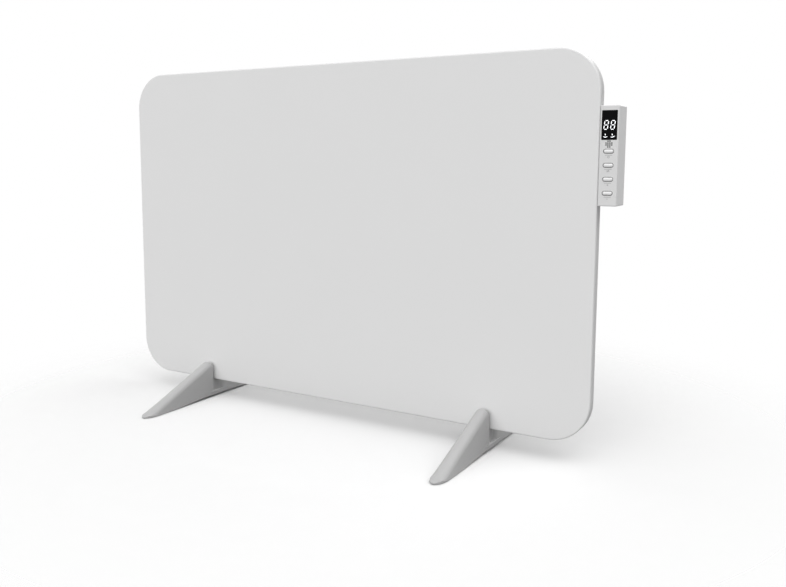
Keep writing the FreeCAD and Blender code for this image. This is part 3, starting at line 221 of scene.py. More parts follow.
floor_paint, tree, shader, place = start("matt_studio_paint", Roughness=0.9)
grain = add(tree, "TexNoise", {"Vector": place, "Scale": every(FLOOR_GRAIN_MM), "Detail": 3.0})
tone = add(tree, "MixRGB", {"Fac": grain.outputs["Fac"], "Color1": linear("#fbfbfb"), "Color2": linear("#f9f9f9")})
paint = add(tree, "MixRGB", {"Fac": looked_at(tree), "Color1": linear(FLOOR_BOUNCE),
                             "Color2": tone.outputs["Color"]})
reach = add(tree, "VectorMath", {0: place, 1: FADE_CENTRE}, operation="DISTANCE")
cover = add(tree, "MapRange", {"Value": reach.outputs["Value"], "From Min": FADE_FROM, "From Max": FADE_TO,
                               "To Min": 1.0, "To Max": 0.0}, interpolation_type="SMOOTHSTEP")
wire(tree, shader, {"Base Color": paint.outputs["Color"], "Alpha": cover.outputs["Result"]})
print("floor fades from", FADE_FROM, "to", FADE_TO, "m")

# %% Floor sheet
FLOOR_HALF, FLOOR_CELLS = 4.0, 16

row = FLOOR_CELLS + 1
steps = np.linspace(-FLOOR_HALF, FLOOR_HALF, row)
across, along = np.meshgrid(steps, steps, indexing="ij")
sheet = np.stack([across, along, np.zeros_like(across)], -1)
first = (np.arange(FLOOR_CELLS)[:, None] * row + np.arange(FLOOR_CELLS)[None]).reshape(-1, 1)
quads = first + np.array([0, row, row + 1, 1])
floor_mesh = bpy.data.meshes.new("studio_floor")
floor_mesh.from_pydata(sheet.reshape(-1, 3).tolist(), [], quads.tolist())
floor_mesh.materials.append(floor_paint)
floor = bpy.data.objects.new("studio_floor", floor_mesh)
bpy.context.scene.collection.objects.link(floor)

unlit = bpy.data.collections.new("not_lit_from_behind")
unlit.objects.link(floor)
unlit.collection_objects[0].light_linking.link_state = "EXCLUDE"
lamps["back_lamp"].light_linking.receiver_collection = unlit
print("floor", 2 * FLOOR_HALF, "m wide,", len(quads), "cells")

# %% [markdown]
# ## Painted sheet: stove enamel and powder coat
# The front is sheet steel under a baked enamel, sprayed wet, so it dries with a faint orange peel about 2 mm wide.
# Along the flange the colour turns a darker grey: painted shade on the side that faces away from most of the light.
# The back is powder coated: matt, with a finer grain. One recipe serves both: two close tones in broad patches, a
# roughness that wanders a little, and a shallow bump. A photograph of paint would carry its own light, so the
# pattern is worked out instead, and it works on every side without any unwrapping.


# %% Painted sheet finishes
def painted_sheet(name, light, dark, shade_colour, shade_mm, patch_mm, peel_mm, depth_mm, rough):
    """Cured paint: noise gives tone, roughness and bump; across shade_mm in Y it fades to shade_colour, a painted
    shade.
    """
    material, tree, shader, place = start(name)
    patch = add(tree, "TexNoise", {"Vector": place, "Scale": every(patch_mm), "Detail": 2.0})
    tone = add(tree, "MixRGB", {"Fac": patch.outputs["Fac"], "Color1": linear(dark), "Color2": linear(light)})
    gloss = add(tree, "MapRange", {"Value": patch.outputs["Fac"], "To Min": rough[0], "To Max": rough[1]})
    peel = add(tree, "TexNoise", {"Vector": place, "Scale": every(peel_mm), "Detail": 1.0})
    bump = add(tree, "Bump", {"Height": peel.outputs["Fac"], "Distance": depth_mm * MM, "Strength": 1.0})
    depth = add(tree, "SeparateXYZ", {"Vector": place}).outputs["Y"]
    shade_ramp = add(tree, "MapRange", {"Value": depth, "From Min": shade_mm[0] * MM, "From Max": shade_mm[1] * MM})
    shaded_coat = add(tree, "MixRGB", {"Fac": shade_ramp.outputs["Result"], "Color1": tone.outputs["Color"],
                                "Color2": linear(shade_colour)})
    wire(tree, shader, {"Base Color": shaded_coat.outputs["Color"], "Roughness": gloss.outputs["Result"],
                        "Normal": bump.outputs["Normal"]})
    return material


# Baked enamel: an even, satin white with a soft, broad sheen. Its flange is painted a darker grey as shade.
stove_enamel = painted_sheet("stove_enamel_on_steel", "#e5e5e5", "#e3e3e3", shade_colour="#c2c2c2", shade_mm=(-8.2, -3.0),
                             patch_mm=160, peel_mm=2.2, depth_mm=0.004, rough=(0.40, 0.46))
# Powder coat: a drier white, whose grain breaks up any highlight. Its shade colour is its own light tone, so its
# outside has one even tone and no painted shade.
powder_coat = painted_sheet("powder_coat_on_steel", "#d8d8d8", "#d4d4d4", shade_colour="#d8d8d8", shade_mm=(7.0, 8.5),
                            patch_mm=90, peel_mm=0.9, depth_mm=0.02, rough=(0.55, 0.66))
print("painted finishes", stove_enamel.name, powder_coat.name)

# %% [markdown]
# ## Moulded plastics and rubber
# The control box, its cover and the feet are moulded ABS from a tool whose steel was spark eroded, which leaves a
# fine, even, matt grain. The keys come from a polished tool and are glossier. Inside are nylon, phenolic and
# rubber pieces, which differ in colour, gloss and grain, but are made the same way, so they share the recipe. The
# grain is about 0.3 mm on the real piece. It is drawn two to five times as coarse, so that it shows.

# %% Moulded finishes
FLOW_MARK_MM = 35


def moulded(name, light, dark, grain_mm, depth_mm, rough, ior=1.53):
    """Moulded polymer: flow marks tint it in soft patches, grain from a cell pattern lifts and dulls it."""
    material, tree, shader, place = start(name, IOR=ior)
    flow = add(tree, "TexNoise", {"Vector": place, "Scale": every(FLOW_MARK_MM), "Detail": 2.0, "Distortion": 0.6})
    tone = add(tree, "MixRGB", {"Fac": flow.outputs["Fac"], "Color1": linear(dark), "Color2": linear(light)})
    grain = add(tree, "TexVoronoi", {"Vector": place, "Scale": every(grain_mm)}, feature="SMOOTH_F1")
    gloss = add(tree, "MapRange", {"Value": grain.outputs["Distance"], "To Min": rough[0], "To Max": rough[1]})
    bump = add(tree, "Bump", {"Height": grain.outputs["Distance"], "Distance": depth_mm * MM, "Strength": 1.0})
    wire(tree, shader, {"Base Color": tone.outputs["Color"], "Roughness": gloss.outputs["Result"],
                        "Normal": bump.outputs["Normal"]})
    return material


# Spark-eroded ABS: a soft matt white that takes long, even shades.
textured_abs = moulded("spark_textured_abs", "#dedede", "#dadada", grain_mm=0.8, depth_mm=0.02, rough=(0.46, 0.58))
# The feet: the white ABS and its grain, drawn light grey all over as painted shade for where they stand low by the
# floor.
shaded_abs = moulded("spark_textured_abs_painted_shade", "#bbbbbb", "#b6b6b6", grain_mm=0.8, depth_mm=0.02, rough=(0.46, 0.58))
# Polished ABS: the keys' small bright highlights come from its smooth skin.
polished_abs = moulded("polished_key_abs", "#efefef", "#ebebeb", grain_mm=1.5, depth_mm=0.001, rough=(0.18, 0.24))
# Phenolic and nylon in black: dull dark grey rather than true black.
black_nylon = moulded("black_nylon", "#232326", "#1b1b1d", grain_mm=0.6, depth_mm=0.02, rough=(0.38, 0.52))
# Terminal block nylon: the usual bright green.
green_nylon = moulded("green_terminal_nylon", "#2f8a52", "#277a47", grain_mm=0.6, depth_mm=0.015, rough=(0.35, 0.48))
# Unfilled nylon: the warm off-white of plugs and connectors.
pale_nylon = moulded("natural_nylon", "#e2ddd0", "#d8d2c3", grain_mm=0.6, depth_mm=0.015, rough=(0.36, 0.5), ior=1.52)
# Nitrile rubber: nearly black, no gloss, a dusty bloom. It also draws the painted shade round the keys and the sound
# holes.
black_rubber_and_shade = moulded("nitrile_rubber_and_painted_shade", "#2b2b2b", "#1c1c1c", grain_mm=1.0, depth_mm=0.04, rough=(0.72, 0.9), ior=1.5)
print("moulded finishes", textured_abs.name, polished_abs.name, black_nylon.name, black_rubber_and_shade.name)

# %% [markdown]
# ## Metals
# The screws are zinc plated, the channels inside are galvanised, and the heater's conductors are copper and
# aluminium foil. A metal has no colour of its own but the tint of its reflection, so these differ in that tint, in
# roughness and in the mark that the mill or the bath leaves: spangle, rolling lines or a passivated bloom.


# %% Metal finishes
def metal(name, light, dark, mark_mm, stretch, rough, cells=False):
    """Metal whose tint and roughness follow the mark left by its making; stretch pulls the mark along X."""
    material, tree, shader, place = start(name, Metallic=1.0)
    pulled = add(tree, "Mapping", {"Vector": place, "Scale": (1 / stretch, 1.0, 1.0)})
    if cells:
        mark = add(tree, "TexVoronoi", {"Vector": pulled.outputs[0], "Scale": every(mark_mm)})
        shade = add(tree, "SeparateColor", {"Color": mark.outputs["Color"]}).outputs["Red"]
    else:
        mark = add(tree, "TexNoise", {"Vector": pulled.outputs[0], "Scale": every(mark_mm), "Detail": 4.0})
        shade = mark.outputs["Fac"]
    tone = add(tree, "MixRGB", {"Fac": shade, "Color1": linear(dark), "Color2": linear(light)})
    gloss = add(tree, "MapRange", {"Value": shade, "To Min": rough[0], "To Max": rough[1]})
    wire(tree, shader, {"Base Color": tone.outputs["Color"], "Roughness": gloss.outputs["Result"]})
    return material


# Zinc plate, clear passivated: bright, a little blue, clouded where the bath dried.
zinc_plate = metal("zinc_plate_on_steel", "#d3d7db", "#b3b8bd", mark_mm=1.6, stretch=1.0, rough=(0.24, 0.40))
# Hot-dip galvanising: flat crystals of spangle, each with its own grey.
galvanised = metal("galvanised_sheet", "#c9cdcf", "#a9aeb1", mark_mm=9.0, stretch=1.0, rough=(0.34, 0.48), cells=True)
# Rolled copper strip: warm, with fine rolling lines along its length.
copper_strip = metal("rolled_copper", "#d8916f", "#b9704f", mark_mm=0.8, stretch=14.0, rough=(0.22, 0.36))
# Rolled foil: nearly a mirror, drawn out into lines by the mill.
bright_foil = metal("aluminium_foil", "#e6e7e9", "#cfd1d4", mark_mm=0.6, stretch=30.0, rough=(0.12, 0.26))
print("metals", zinc_plate.name, galvanised.name, copper_strip.name, bright_foil.name)

# %% [markdown]
# ## The window and the boards
# The window is tinted acrylic: black until the figures behind it light up, with a sharp gloss and a few dull
# smudges from fingers. The circuit boards are glass laminate under green lacquer, where the copper tracks show as a
# lighter green grid. Each is used once or twice, so each has its own few nodes.

# %% Acrylic and lacquered board
SMUDGE_MM = 9
TRACK_PITCH_MM, TRACK_MM = 2.54, 0.35

# Tinted acrylic: black and sharp, so it mirrors the studio.
tinted_acrylic, tree, shader, place = start("tinted_acrylic", IOR=1.49, Specular_IOR_Level=0.06)
smudge = add(tree, "TexNoise", {"Vector": place, "Scale": every(SMUDGE_MM), "Detail": 4.0})
tint = add(tree, "MixRGB", {"Fac": smudge.outputs["Fac"], "Color1": linear("#050506"), "Color2": linear("#080809")})
dull = add(tree, "MapRange", {"Value": smudge.outputs["Fac"], "To Min": 0.03, "To Max": 0.16})
wire(tree, shader, {"Base Color": tint.outputs["Color"], "Roughness": dull.outputs["Result"]})

# Lacquered glass laminate: glossy green, lighter over the tracks, which run on the usual pin pitch.
board_lacquer, tree, shader, place = start("lacquered_glass_laminate", Roughness=0.3, Coat_Weight=0.4)
upright = add(tree, "Mapping", {"Vector": place, "Rotation": (math.radians(90), 0.0, 0.0)})
tracks = add(tree, "TexBrick", {"Vector": upright.outputs[0], "Scale": 1.0, "Brick Width": 3 * TRACK_PITCH_MM * MM,
                                "Row Height": TRACK_PITCH_MM * MM, "Mortar Size": TRACK_MM * MM,
                                "Color1": linear("#14532f"), "Color2": linear("#1a6038"),
                                "Mortar": linear("#2c7d4b")})
wire(tree, shader, {"Base Color": tracks.outputs["Color"]})
print("window and boards", tinted_acrylic.name, board_lacquer.name)

# %% [markdown]
# ### The heater's own layers
# Behind the panel lies a film with black carbon printed in bands, on a mineral board that is all fibre. Its leads
# run in pale sleeves. They are hidden when the heater is whole, but the finishes serve whoever takes it apart.

# %% Carbon film, fibre board and sleeving
BAND_MM, STRAND_MM, NAP_MM = 12, 3, 0.3
BRAID_MM, BRAID_RELIEF_MM = 1.2, 0.08
WAVE_RADIANS = 20  # by which the wave texture turns in one unit, at scale 1

# Printed carbon: matt black bands, a shade greyer where two prints meet.
carbon_print, tree, shader, place = start("printed_carbon_film", Roughness=0.55)
bands = add(tree, "TexWave", {"Vector": place, "Scale": 2 * math.pi / (WAVE_RADIANS * BAND_MM * MM),
                              "Distortion": 0.0})
ink = add(tree, "MixRGB", {"Fac": bands.outputs["Fac"], "Color1": linear("#161616"), "Color2": linear("#2e2e2f")})
wire(tree, shader, {"Base Color": ink.outputs["Color"]})

# Pressed mineral fibre: straw grey, soft and fully matt, with long tangled strands.
fibre_board, tree, shader, place = start("pressed_mineral_fibre", Roughness=0.95)
strands = add(tree, "TexNoise", {"Vector": place, "Scale": every(STRAND_MM), "Detail": 6.0, "Distortion": 2.5})
straw = add(tree, "MixRGB", {"Fac": strands.outputs["Fac"], "Color1": linear("#b5a885"),
                             "Color2": linear("#dbd1b3")})
nap = add(tree, "Bump", {"Height": strands.outputs["Fac"], "Distance": NAP_MM * MM, "Strength": 1.0})
wire(tree, shader, {"Base Color": straw.outputs["Color"], "Normal": nap.outputs["Normal"]})

# Silicone over glass braid: pale, soft, with the braid's lattice showing through.
silicone_sleeve, tree, shader, place = start("silicone_glass_sleeve", Roughness=0.5)
braid = add(tree, "TexVoronoi", {"Vector": place, "Scale": every(BRAID_MM)})
sleeve = add(tree, "MixRGB", {"Fac": braid.outputs["Distance"], "Color1": linear("#ddd4c6"),
                              "Color2": linear("#c3b8a7")})
weave = add(tree, "Bump", {"Height": braid.outputs["Distance"], "Distance": BRAID_RELIEF_MM * MM, "Strength": 1.0})
wire(tree, shader, {"Base Color": sleeve.outputs["Color"], "Normal": weave.outputs["Normal"]})
print("layers", carbon_print.name, fibre_board.name, silicone_sleeve.name)

# %% [markdown]
# ## Dressing the model's own pieces
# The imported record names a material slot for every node. Each slot gets the finish made for it above. The keys
# share the slot of the white mouldings, but they are polished, so they are dressed by name.

# %% Finish of every node
KEYS = ["power_button", "mode_button", "plus_button", "minus_button"]
OWN_FINISH = {key: polished_abs for key in KEYS}
FINISH_OF_SLOT = {
    "white_enamel": stove_enamel,
    "white_powder_coat": powder_coat,
    "white_moulding": textured_abs,
    # The feet's slot takes the grey copy of the ABS, which is painted shade.
    "grey_moulding": shaded_abs,
    "display_glass": tinted_acrylic,
    "black_plastic": black_nylon,
    "green_plastic": green_nylon,
    "pale_plastic": pale_nylon,
    "circuit_board": board_lacquer,
    "black_rubber": black_rubber_and_shade,
    "zinc_plated_steel": zinc_plate,
    "galvanised_steel": galvanised,
    "copper": copper_strip,
    "bright_foil": bright_foil,
    "carbon_film": carbon_print,
    "fibre_board": fibre_board,
    "lead_insulation": silicone_sleeve,
}

for part in frame["record"]["subparts"]:
    finish = OWN_FINISH.get(part["node"], FINISH_OF_SLOT[part["material_slot"]])
    frame["nodes"][part["node"]].material_slots[0].material = finish

# %% [markdown]
# ## From arrays to pieces
# Every new piece below is a stack of rings of points, worked out as one array: a profile turned about an axis, or
# a section carried along a line. One function skins such stacks, closes both ends, or joins the last ring to the
# first, and makes the piece ride on the heater. Modelling by hand in edit mode could do the same, but a formula can
# be read, checked and changed.


# %% Skin a stack of rings
def grid_faces(rows, columns, hoop):
    """Quads (i, j), (i, j+1), (i+1, j+1), (i+1, j) between rings; j goes round, and on a hoop i does too."""
    i, j = np.meshgrid(np.arange(rows if hoop else rows - 1), np.arange(columns), indexing="ij")
    below, after = (i + 1) % rows, (j + 1) % columns
    corners = [i * columns + j, i * columns + after, below * columns + after, below * columns + j]
    return np.stack(corners, -1).reshape(-1, 4)


def closed_piece(name, rings, material, body=HEATER, smooth_deg=35.0, hoop=False):
    """Closed solids from rings (copies, rows, columns, 3): a flat cap at each end, or a hoop with none."""
    copies, rows, columns, _ = rings.shape
    step = (np.arange(copies) * rows * columns)[:, None, None]
    sides = (grid_faces(rows, columns, hoop)[None] + step).reshape(-1, 4)
    ends = np.stack([np.arange(columns)[::-1], np.arange(columns) + (rows - 1) * columns])
    caps = [] if hoop else (ends[None] + step).reshape(-1, columns).tolist()
    mesh = bpy.data.meshes.new(name)
    mesh.from_pydata(rings.reshape(-1, 3).tolist(), [], sides.tolist() + caps)
    outward = bmesh.new()
    outward.from_mesh(mesh)
    bmesh.ops.recalc_face_normals(outward, faces=outward.faces)
    outward.to_mesh(mesh)
    outward.free()
    mesh.polygons.foreach_set("use_smooth", np.ones(len(mesh.polygons), bool))
    mesh.set_sharp_from_angle(angle=math.radians(smooth_deg))
    mesh.materials.append(material)
    piece = bpy.data.objects.new(name, mesh)
    bpy.context.scene.collection.objects.link(piece)
    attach(piece, body)
    print(name, copies, "solids,", len(mesh.polygons), "faces")
    return piece


print("a hoop of 3 rings of 4 points has", len(grid_faces(3, 4, True)), "faces")

# %% [markdown]
# ## Screws with a cross in the head
# Twelve screws hold the back, four hold the control box's cover and one goes up into each foot. The model has
# their bodies at the right places, with plain heads. A cut made with a boolean would leave ragged faces, so the
# head is worked out instead: its rings first follow the outline of the cross, from the floor of the recess up to
# its rim, and then widen to the round head, the seat, the shank and the point. The first step is to find out where
# the screws are.


# %% Measure the screws
def solids_of(node, spread_mm):
    """Lowest and highest corners of a node's separate solids: points near the first one left belong together."""
    mesh = frame["nodes"][node].data
    points = np.empty(3 * len(mesh.vertices), np.float32)
    mesh.vertices.foreach_get("co", points)
    points = points.reshape(-1, 3).astype(float)
    boxes = []
    while len(points):
        near = np.linalg.norm(points - points[0], axis=1) < spread_mm * MM
        boxes.append((points[near].min(0), points[near].max(0)))
        points = points[~near]
    return np.array(boxes)


print("screws in the back", len(solids_of("rear_cover_screws", spread_mm=30)))

# %% [markdown]
# ### The outline of the cross
# Seen from above, a ray from the screw's middle leaves the cross by a slot's side or by its end. So the outline is a
# function of the angle, and points at the angles of the cross's own corners keep these sharp.

# %% Outline of the cross
CROSS_REACH, CROSS_SLOT = 0.62, 0.15  # shares of the head's radius
EIGHTH_STEPS = 5


def cross_angles():
    """Angles round a screw that fall on every corner of its cross, and evenly between them."""
    corner = math.degrees(math.atan2(CROSS_SLOT, CROSS_REACH))
    eighth = np.concatenate([[0.0], np.linspace(corner, 45.0, EIGHTH_STEPS)])
    quarter = np.concatenate([eighth, 90.0 - eighth[1:-1][::-1]])
    return np.radians((quarter[None] + 90.0 * np.arange(4)[:, None]).reshape(-1))


def cross_edge(angle):
    """Share of the head's radius at which a ray leaves the cross: by a slot's side or by its end, what is nearer."""
    off = np.abs((angle + np.pi / 4) % (np.pi / 2) - np.pi / 4)
    return np.minimum(CROSS_SLOT / np.maximum(np.sin(off), 1e-6), CROSS_REACH / np.cos(off))


print("cross outline", len(cross_angles()), "points")

# %% [markdown]
# ### The screw's profile
# Each ring has a radius and a height at every angle. The recess has a flat floor and a steep wall, the head is a low
# dome with a thin rim, and below its seat come the straight shank and a blunt point.

# %% Screw profile
CROSS_DEPTH = 0.62  # share of the head's height, as are the next two
CROWN_FALL, RIM = 0.45, 0.12
RECESS_RINGS = np.array([0.3, 0.82, 1.0])[:, None]
CROWN_RINGS = np.array([0.25, 0.5, 0.75, 0.92])[:, None]
POINT_R, POINT_L = 0.15, 2.0  # in shank radii


def screw_profile(angle, head_r, head_h, shank_r, length):
    """Radius and height per ring and angle; the crown falls by a share of (radius / head radius) squared."""
    edge = cross_edge(angle) * head_r
    inner = RECESS_RINGS * edge
    outer = edge + CROWN_RINGS * (head_r - edge)
    turned = np.array([head_r, head_r, shank_r, shank_r, shank_r * POINT_R])[:, None] * np.ones_like(angle)
    radius = np.concatenate([inner, outer, turned])
    height = head_h * (1 - CROWN_FALL * (radius / head_r) ** 2)
    height[:2] = head_h * (1 - CROSS_DEPTH)
    rim = head_h * (1 - CROWN_FALL - RIM)
    height[-len(turned):] = np.array([rim, 0.0, 0.0, POINT_L * shank_r - length, -length])[:, None]
    return radius, height


sample_radius, _ = screw_profile(cross_angles(), head_r=3.0, head_h=2.0, shank_r=1.5, length=8.0)
print("rings in a screw", len(sample_radius))

# %% [markdown]
# ### Screws in place
# The profile is carried to every place that was measured. Each screw is turned by its own angle, as no two are ever
# driven home alike.

# %% Cross-head screws
TURN_STEP_DEG = 137.5


def screws(node, head_h_mm, shank_r_mm, out, spread_mm):
    """Screws in place of a node: centre + r cos a U + r sin a V + h W for each ring, W pointing out of the head."""
    boxes = solids_of(node, spread_mm)
    axis = np.abs(np.array(out)).argmax()
    sign = out[axis]
    sides = [k for k in range(3) if k != axis]
    middle = boxes.mean(1)
    head_r = (boxes[:, 1] - boxes[:, 0])[0, sides[0]] / 2
    top = (boxes[:, 1] if sign > 0 else boxes[:, 0])[:, axis]
    tip = (boxes[:, 0] if sign > 0 else boxes[:, 1])[0, axis]
    head_h = head_h_mm * MM
    angle = cross_angles()
    radius, height = screw_profile(angle, head_r, head_h, shank_r_mm * MM, abs(top[0] - tip) - head_h)

    turn = np.radians(TURN_STEP_DEG * np.arange(len(boxes)))[:, None, None]
    rings = np.empty((len(boxes), *radius.shape, 3))
    rings[..., sides[0]] = middle[:, sides[0], None, None] + radius * np.cos(angle + turn)
    rings[..., sides[1]] = middle[:, sides[1], None, None] + radius * np.sin(angle + turn)
    rings[..., axis] = top[:, None, None] + sign * (height - head_h)
    piece = closed_piece(node + "_cross_head", rings, zinc_plate, smooth_deg=40.0)
    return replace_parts(piece, node)


screws("rear_cover_screws", head_h_mm=2.0, shank_r_mm=1.7, out=(0, 1, 0), spread_mm=30)
screws("control_cover_screws", head_h_mm=1.7, shank_r_mm=1.4, out=(0, 1, 0), spread_mm=40)
screws("foot_screws", head_h_mm=3.5, shank_r_mm=2.5, out=(0, 0, -1), spread_mm=80)

# %% [markdown]
# ## The gland with its grip
# The mains cord leaves the box through a nylon gland, a hollow screw with a domed head. Such heads are ribbed, so
# that fingers can tighten them, and the model has the dome plain. The section through one side is a closed loop of
# points. Carried round the upright axis it makes a hoop, and the ribs are a wave in the loop's radius, full on the
# dome and gone at its lip and its seat.

# %% Section of the gland
BORE_MM, THREAD_MM, LIP_MM = 3.6, 5.5, 5.2  # radii
LIP_ROUND_MM, FLARE_MM, FLARE_TOP_MM = 0.3, 0.5, 0.7
DOME_H_MM, GRIP_MID_MM, GRIP_TOP_MM, HEAD_TOP_MM = 3.7, 5.2, 6.3, 7.0  # heights
SHOULDER_MM, CHAMFER_MM = 0.35, 0.5
DOME_STEPS = 11

gland_low, gland_high = [np.array(corner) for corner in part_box("cord_gland")]
gland_r = (gland_high - gland_low)[0] / 2 / MM
gland_top = (gland_high - gland_low)[2] / MM
rise = np.linspace(0, 1, DOME_STEPS)
mouth = [[BORE_MM, gland_top], [BORE_MM, FLARE_TOP_MM], [BORE_MM + FLARE_MM, 0.0], [LIP_MM - LIP_ROUND_MM, 0.0]]
dome = np.stack([LIP_MM + (gland_r - LIP_MM) * np.sin(rise * np.pi / 2), LIP_ROUND_MM + DOME_H_MM * rise], -1)
seat = [[gland_r, GRIP_MID_MM], [gland_r, GRIP_TOP_MM], [gland_r - SHOULDER_MM, HEAD_TOP_MM],
        [THREAD_MM, HEAD_TOP_MM], [THREAD_MM, gland_top - CHAMFER_MM], [THREAD_MM - CHAMFER_MM, gland_top]]
loop = np.concatenate([mouth, dome, seat])
print("gland", round(2 * gland_r, 2), "mm across,", round(gland_top, 2), "mm high,", len(loop), "points in its section")

# %% Ribbed gland
RIBS, RIB_DEPTH_MM, RIB_FADE_MM = 20, 0.45, 1.1
STEPS_PER_RIB = 8

within = np.minimum(loop[:, 1] - LIP_ROUND_MM, GRIP_TOP_MM - loop[:, 1])
grip = np.clip(within / RIB_FADE_MM, 0, 1) * (loop[:, 0] > LIP_MM)
round_about = np.linspace(0, 2 * np.pi, STEPS_PER_RIB * RIBS, endpoint=False)[:, None]
ribbed = loop[:, 0] - RIB_DEPTH_MM * grip * (0.5 - 0.5 * np.cos(RIBS * round_about))
upward = np.broadcast_to(loop[:, 1], ribbed.shape)
gland_rings = np.stack([ribbed * np.cos(round_about), ribbed * np.sin(round_about), upward], -1) * MM
gland_rings += np.append((gland_low + gland_high)[:2] / 2, gland_low[2])
gland = closed_piece("ribbed_gland", gland_rings[None], black_nylon, hoop=True)
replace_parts(gland, "cord_gland")

# %% [markdown]
# ## On the control box's face
# A thin dark band runs round the window and a ring of painted shade round each key, in the window two seven-segment
# figures are lit, with two small icons below them, and a small grey mark is printed under each key. All of them lie
# flat on the face and stand out by a twentieth of a millimetre, so the first step is to measure the face and the
# window.

# %% Measure the face and the window
INK_PROUD_MM = 0.05

lens_low, lens_high = [np.array(corner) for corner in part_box("display_lens")]
face_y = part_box("control_housing")[0][1]
ink_front, ink_back = face_y - INK_PROUD_MM * MM, face_y + INK_PROUD_MM * MM
lens_x = (lens_low[0] + lens_high[0]) / 2
print("lens centre x", round(lens_x, 4), "z", lens_low[2].round(4), "to", lens_high[2].round(4), "face y", face_y)

# %% [markdown]
# ### A dark band round the window, painted shade round the keys
# A thin dark band runs round the window. Round each key a thin dark ring paints the gap and the shade beside it.
# Each is a flat hoop with rounded corners. Its outline could be a bevelled curve, but four quarter turns, each
# about its own corner's centre, give it at once for the window and for all four keys.

# %% Flat hoops with rounded corners
QUARTER_STEPS = 9


def flat_hoops(centres, half_sizes, corner_r, offsets_mm):
    """Corner centre + (corner radius + offset) (cos t, sin t) over four quarter turns, at two offsets."""
    turns = np.linspace(0, np.pi / 2, QUARTER_STEPS)[None] + np.pi / 2 * np.arange(4)[:, None]
    ray = np.stack([np.cos(turns), np.sin(turns)], -1)
    quadrant = np.sign(ray[:, QUARTER_STEPS // 2, None])
    core = (half_sizes - corner_r[:, None])[:, None, None] * quadrant + centres[:, None, None]
    inner, outer = [(core + (corner_r[:, None, None, None] + offset_mm * MM) * ray).reshape(len(centres), -1, 2)
                    for offset_mm in offsets_mm]
    rings = np.empty((*inner.shape[:2], 4, 3))
    rings[..., 0::2] = np.stack([inner, outer, outer, inner], 2)
    rings[..., 1] = np.array([ink_front, ink_front, ink_back, ink_back])
    return rings


print("points round a hoop", 4 * QUARTER_STEPS)

# %% Window band and painted key shade
KEY_FLANGE_MM = 1.05  # the flange behind the face is wider than the key by this much on each side
WINDOW_CORNER_MM = 0.8
KEY_ROUND = 0.98  # corner radius as a share of half the key's height
# Offsets from each outline in mm: round the keys the ring is painted shade over the gap and beside it.
KEY_SHADE_RING_MM, WINDOW_BAND_MM = (0.08, 0.55), (-0.1, 0.45)

key_boxes = np.array([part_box(key) for key in KEYS])[:, :, [0, 2]]
key_halves = (key_boxes[:, 1] - key_boxes[:, 0]) / 2 - KEY_FLANGE_MM * MM
lens_box = np.array([lens_low, lens_high])[None, :, [0, 2]]
lens_half = (lens_box[:, 1] - lens_box[:, 0]) / 2
window_band_and_key_shade = np.concatenate([
    flat_hoops(key_boxes.mean(1), key_halves, KEY_ROUND * key_halves[:, 1], KEY_SHADE_RING_MM),
    flat_hoops(lens_box.mean(1), lens_half, np.array([WINDOW_CORNER_MM * MM]), WINDOW_BAND_MM),
])
# Black rubber finish. Round the keys these rings are painted shade.
closed_piece("window_band_and_key_shade_rings", window_band_and_key_shade, black_rubber_and_shade, hoop=True)
print("keys", (2 * key_halves[0] / MM).round(2), "mm")

# %% [markdown]
# ### Painted shade round the sound holes
# A thin dark ring at the edge of each sound hole paints the shade in it, so a hole shows darker and a little wider.
# The holes stand in four rows of four without the corners. A ring is the same hoop as before, with corners so round
# that hardly a straight edge is left.

# %% Painted shade round the sound holes
SOUND_DROP_MM, SOUND_PITCH_MM, SOUND_HOLE_R_MM = 55.6, 2.8, 0.85
SOUND_ROWS = 4
HOLE_SHADE_ROUND = 0.95
HOLE_SHADE_MM = (-0.1, 0.22)

box_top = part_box("control_housing")[1][2]
places = np.arange(SOUND_ROWS) - (SOUND_ROWS - 1) / 2
grid = np.stack(np.meshgrid(places, places), -1).reshape(-1, 2)
grid = grid[np.abs(grid).sum(1) < SOUND_ROWS - 1] * SOUND_PITCH_MM * MM
hole_centres = grid + [lens_x, box_top - SOUND_DROP_MM * MM]
hole_halves = np.full(hole_centres.shape, SOUND_HOLE_R_MM * MM)
hole_shade_rings = flat_hoops(hole_centres, hole_halves, HOLE_SHADE_ROUND * hole_halves[:, 0], HOLE_SHADE_MM)
# Dark rings at the holes' edges in the black rubber finish: painted shade.
closed_piece("sound_hole_painted_shade", hole_shade_rings, black_rubber_and_shade, hoop=True)

# %% [markdown]
# ### Strokes
# The figures, icons and marks are flat strokes of some width: a segment tapers at both ends, an icon's bowl is an
# arc that swells in the middle. So one function carries a flat section along a line in the face's plane, wide or
# narrow as it goes. Text objects or a picture would be quicker, but these keep their edges at any distance.


# %% Strokes on the face
def strokes(lines, widths, y_front, y_back):
    """Flat bars along lines (copies, n, 2) in x, z: left and right edge at half the width along the normal."""
    ahead = np.gradient(lines, axis=1)
    ahead /= np.linalg.norm(ahead, axis=-1, keepdims=True)
    normal = np.stack([-ahead[..., 1], ahead[..., 0]], -1)
    offset = normal * widths[..., None] / 2
    left, right = lines + offset, lines - offset
    rings = np.empty((*lines.shape[:2], 4, 3))
    rings[..., 0::2] = np.stack([left, right, right, left], 2)
    rings[..., 1] = np.array([y_front, y_front, y_back, y_back])
    return rings


print("strokes lie between y", round(ink_front, 5), "and", round(ink_back, 5))

# %% [markdown]
# ### Lit finish and printed ink
# A lit segment is a light pipe: it glows evenly, with a faint haze in the plastic. The printed marks are a grey ink
# from a screen, a little uneven where the mesh left its trace.

# %% Lit and printed finishes
HAZE_MM, MESH_MM = 2.5, 0.4

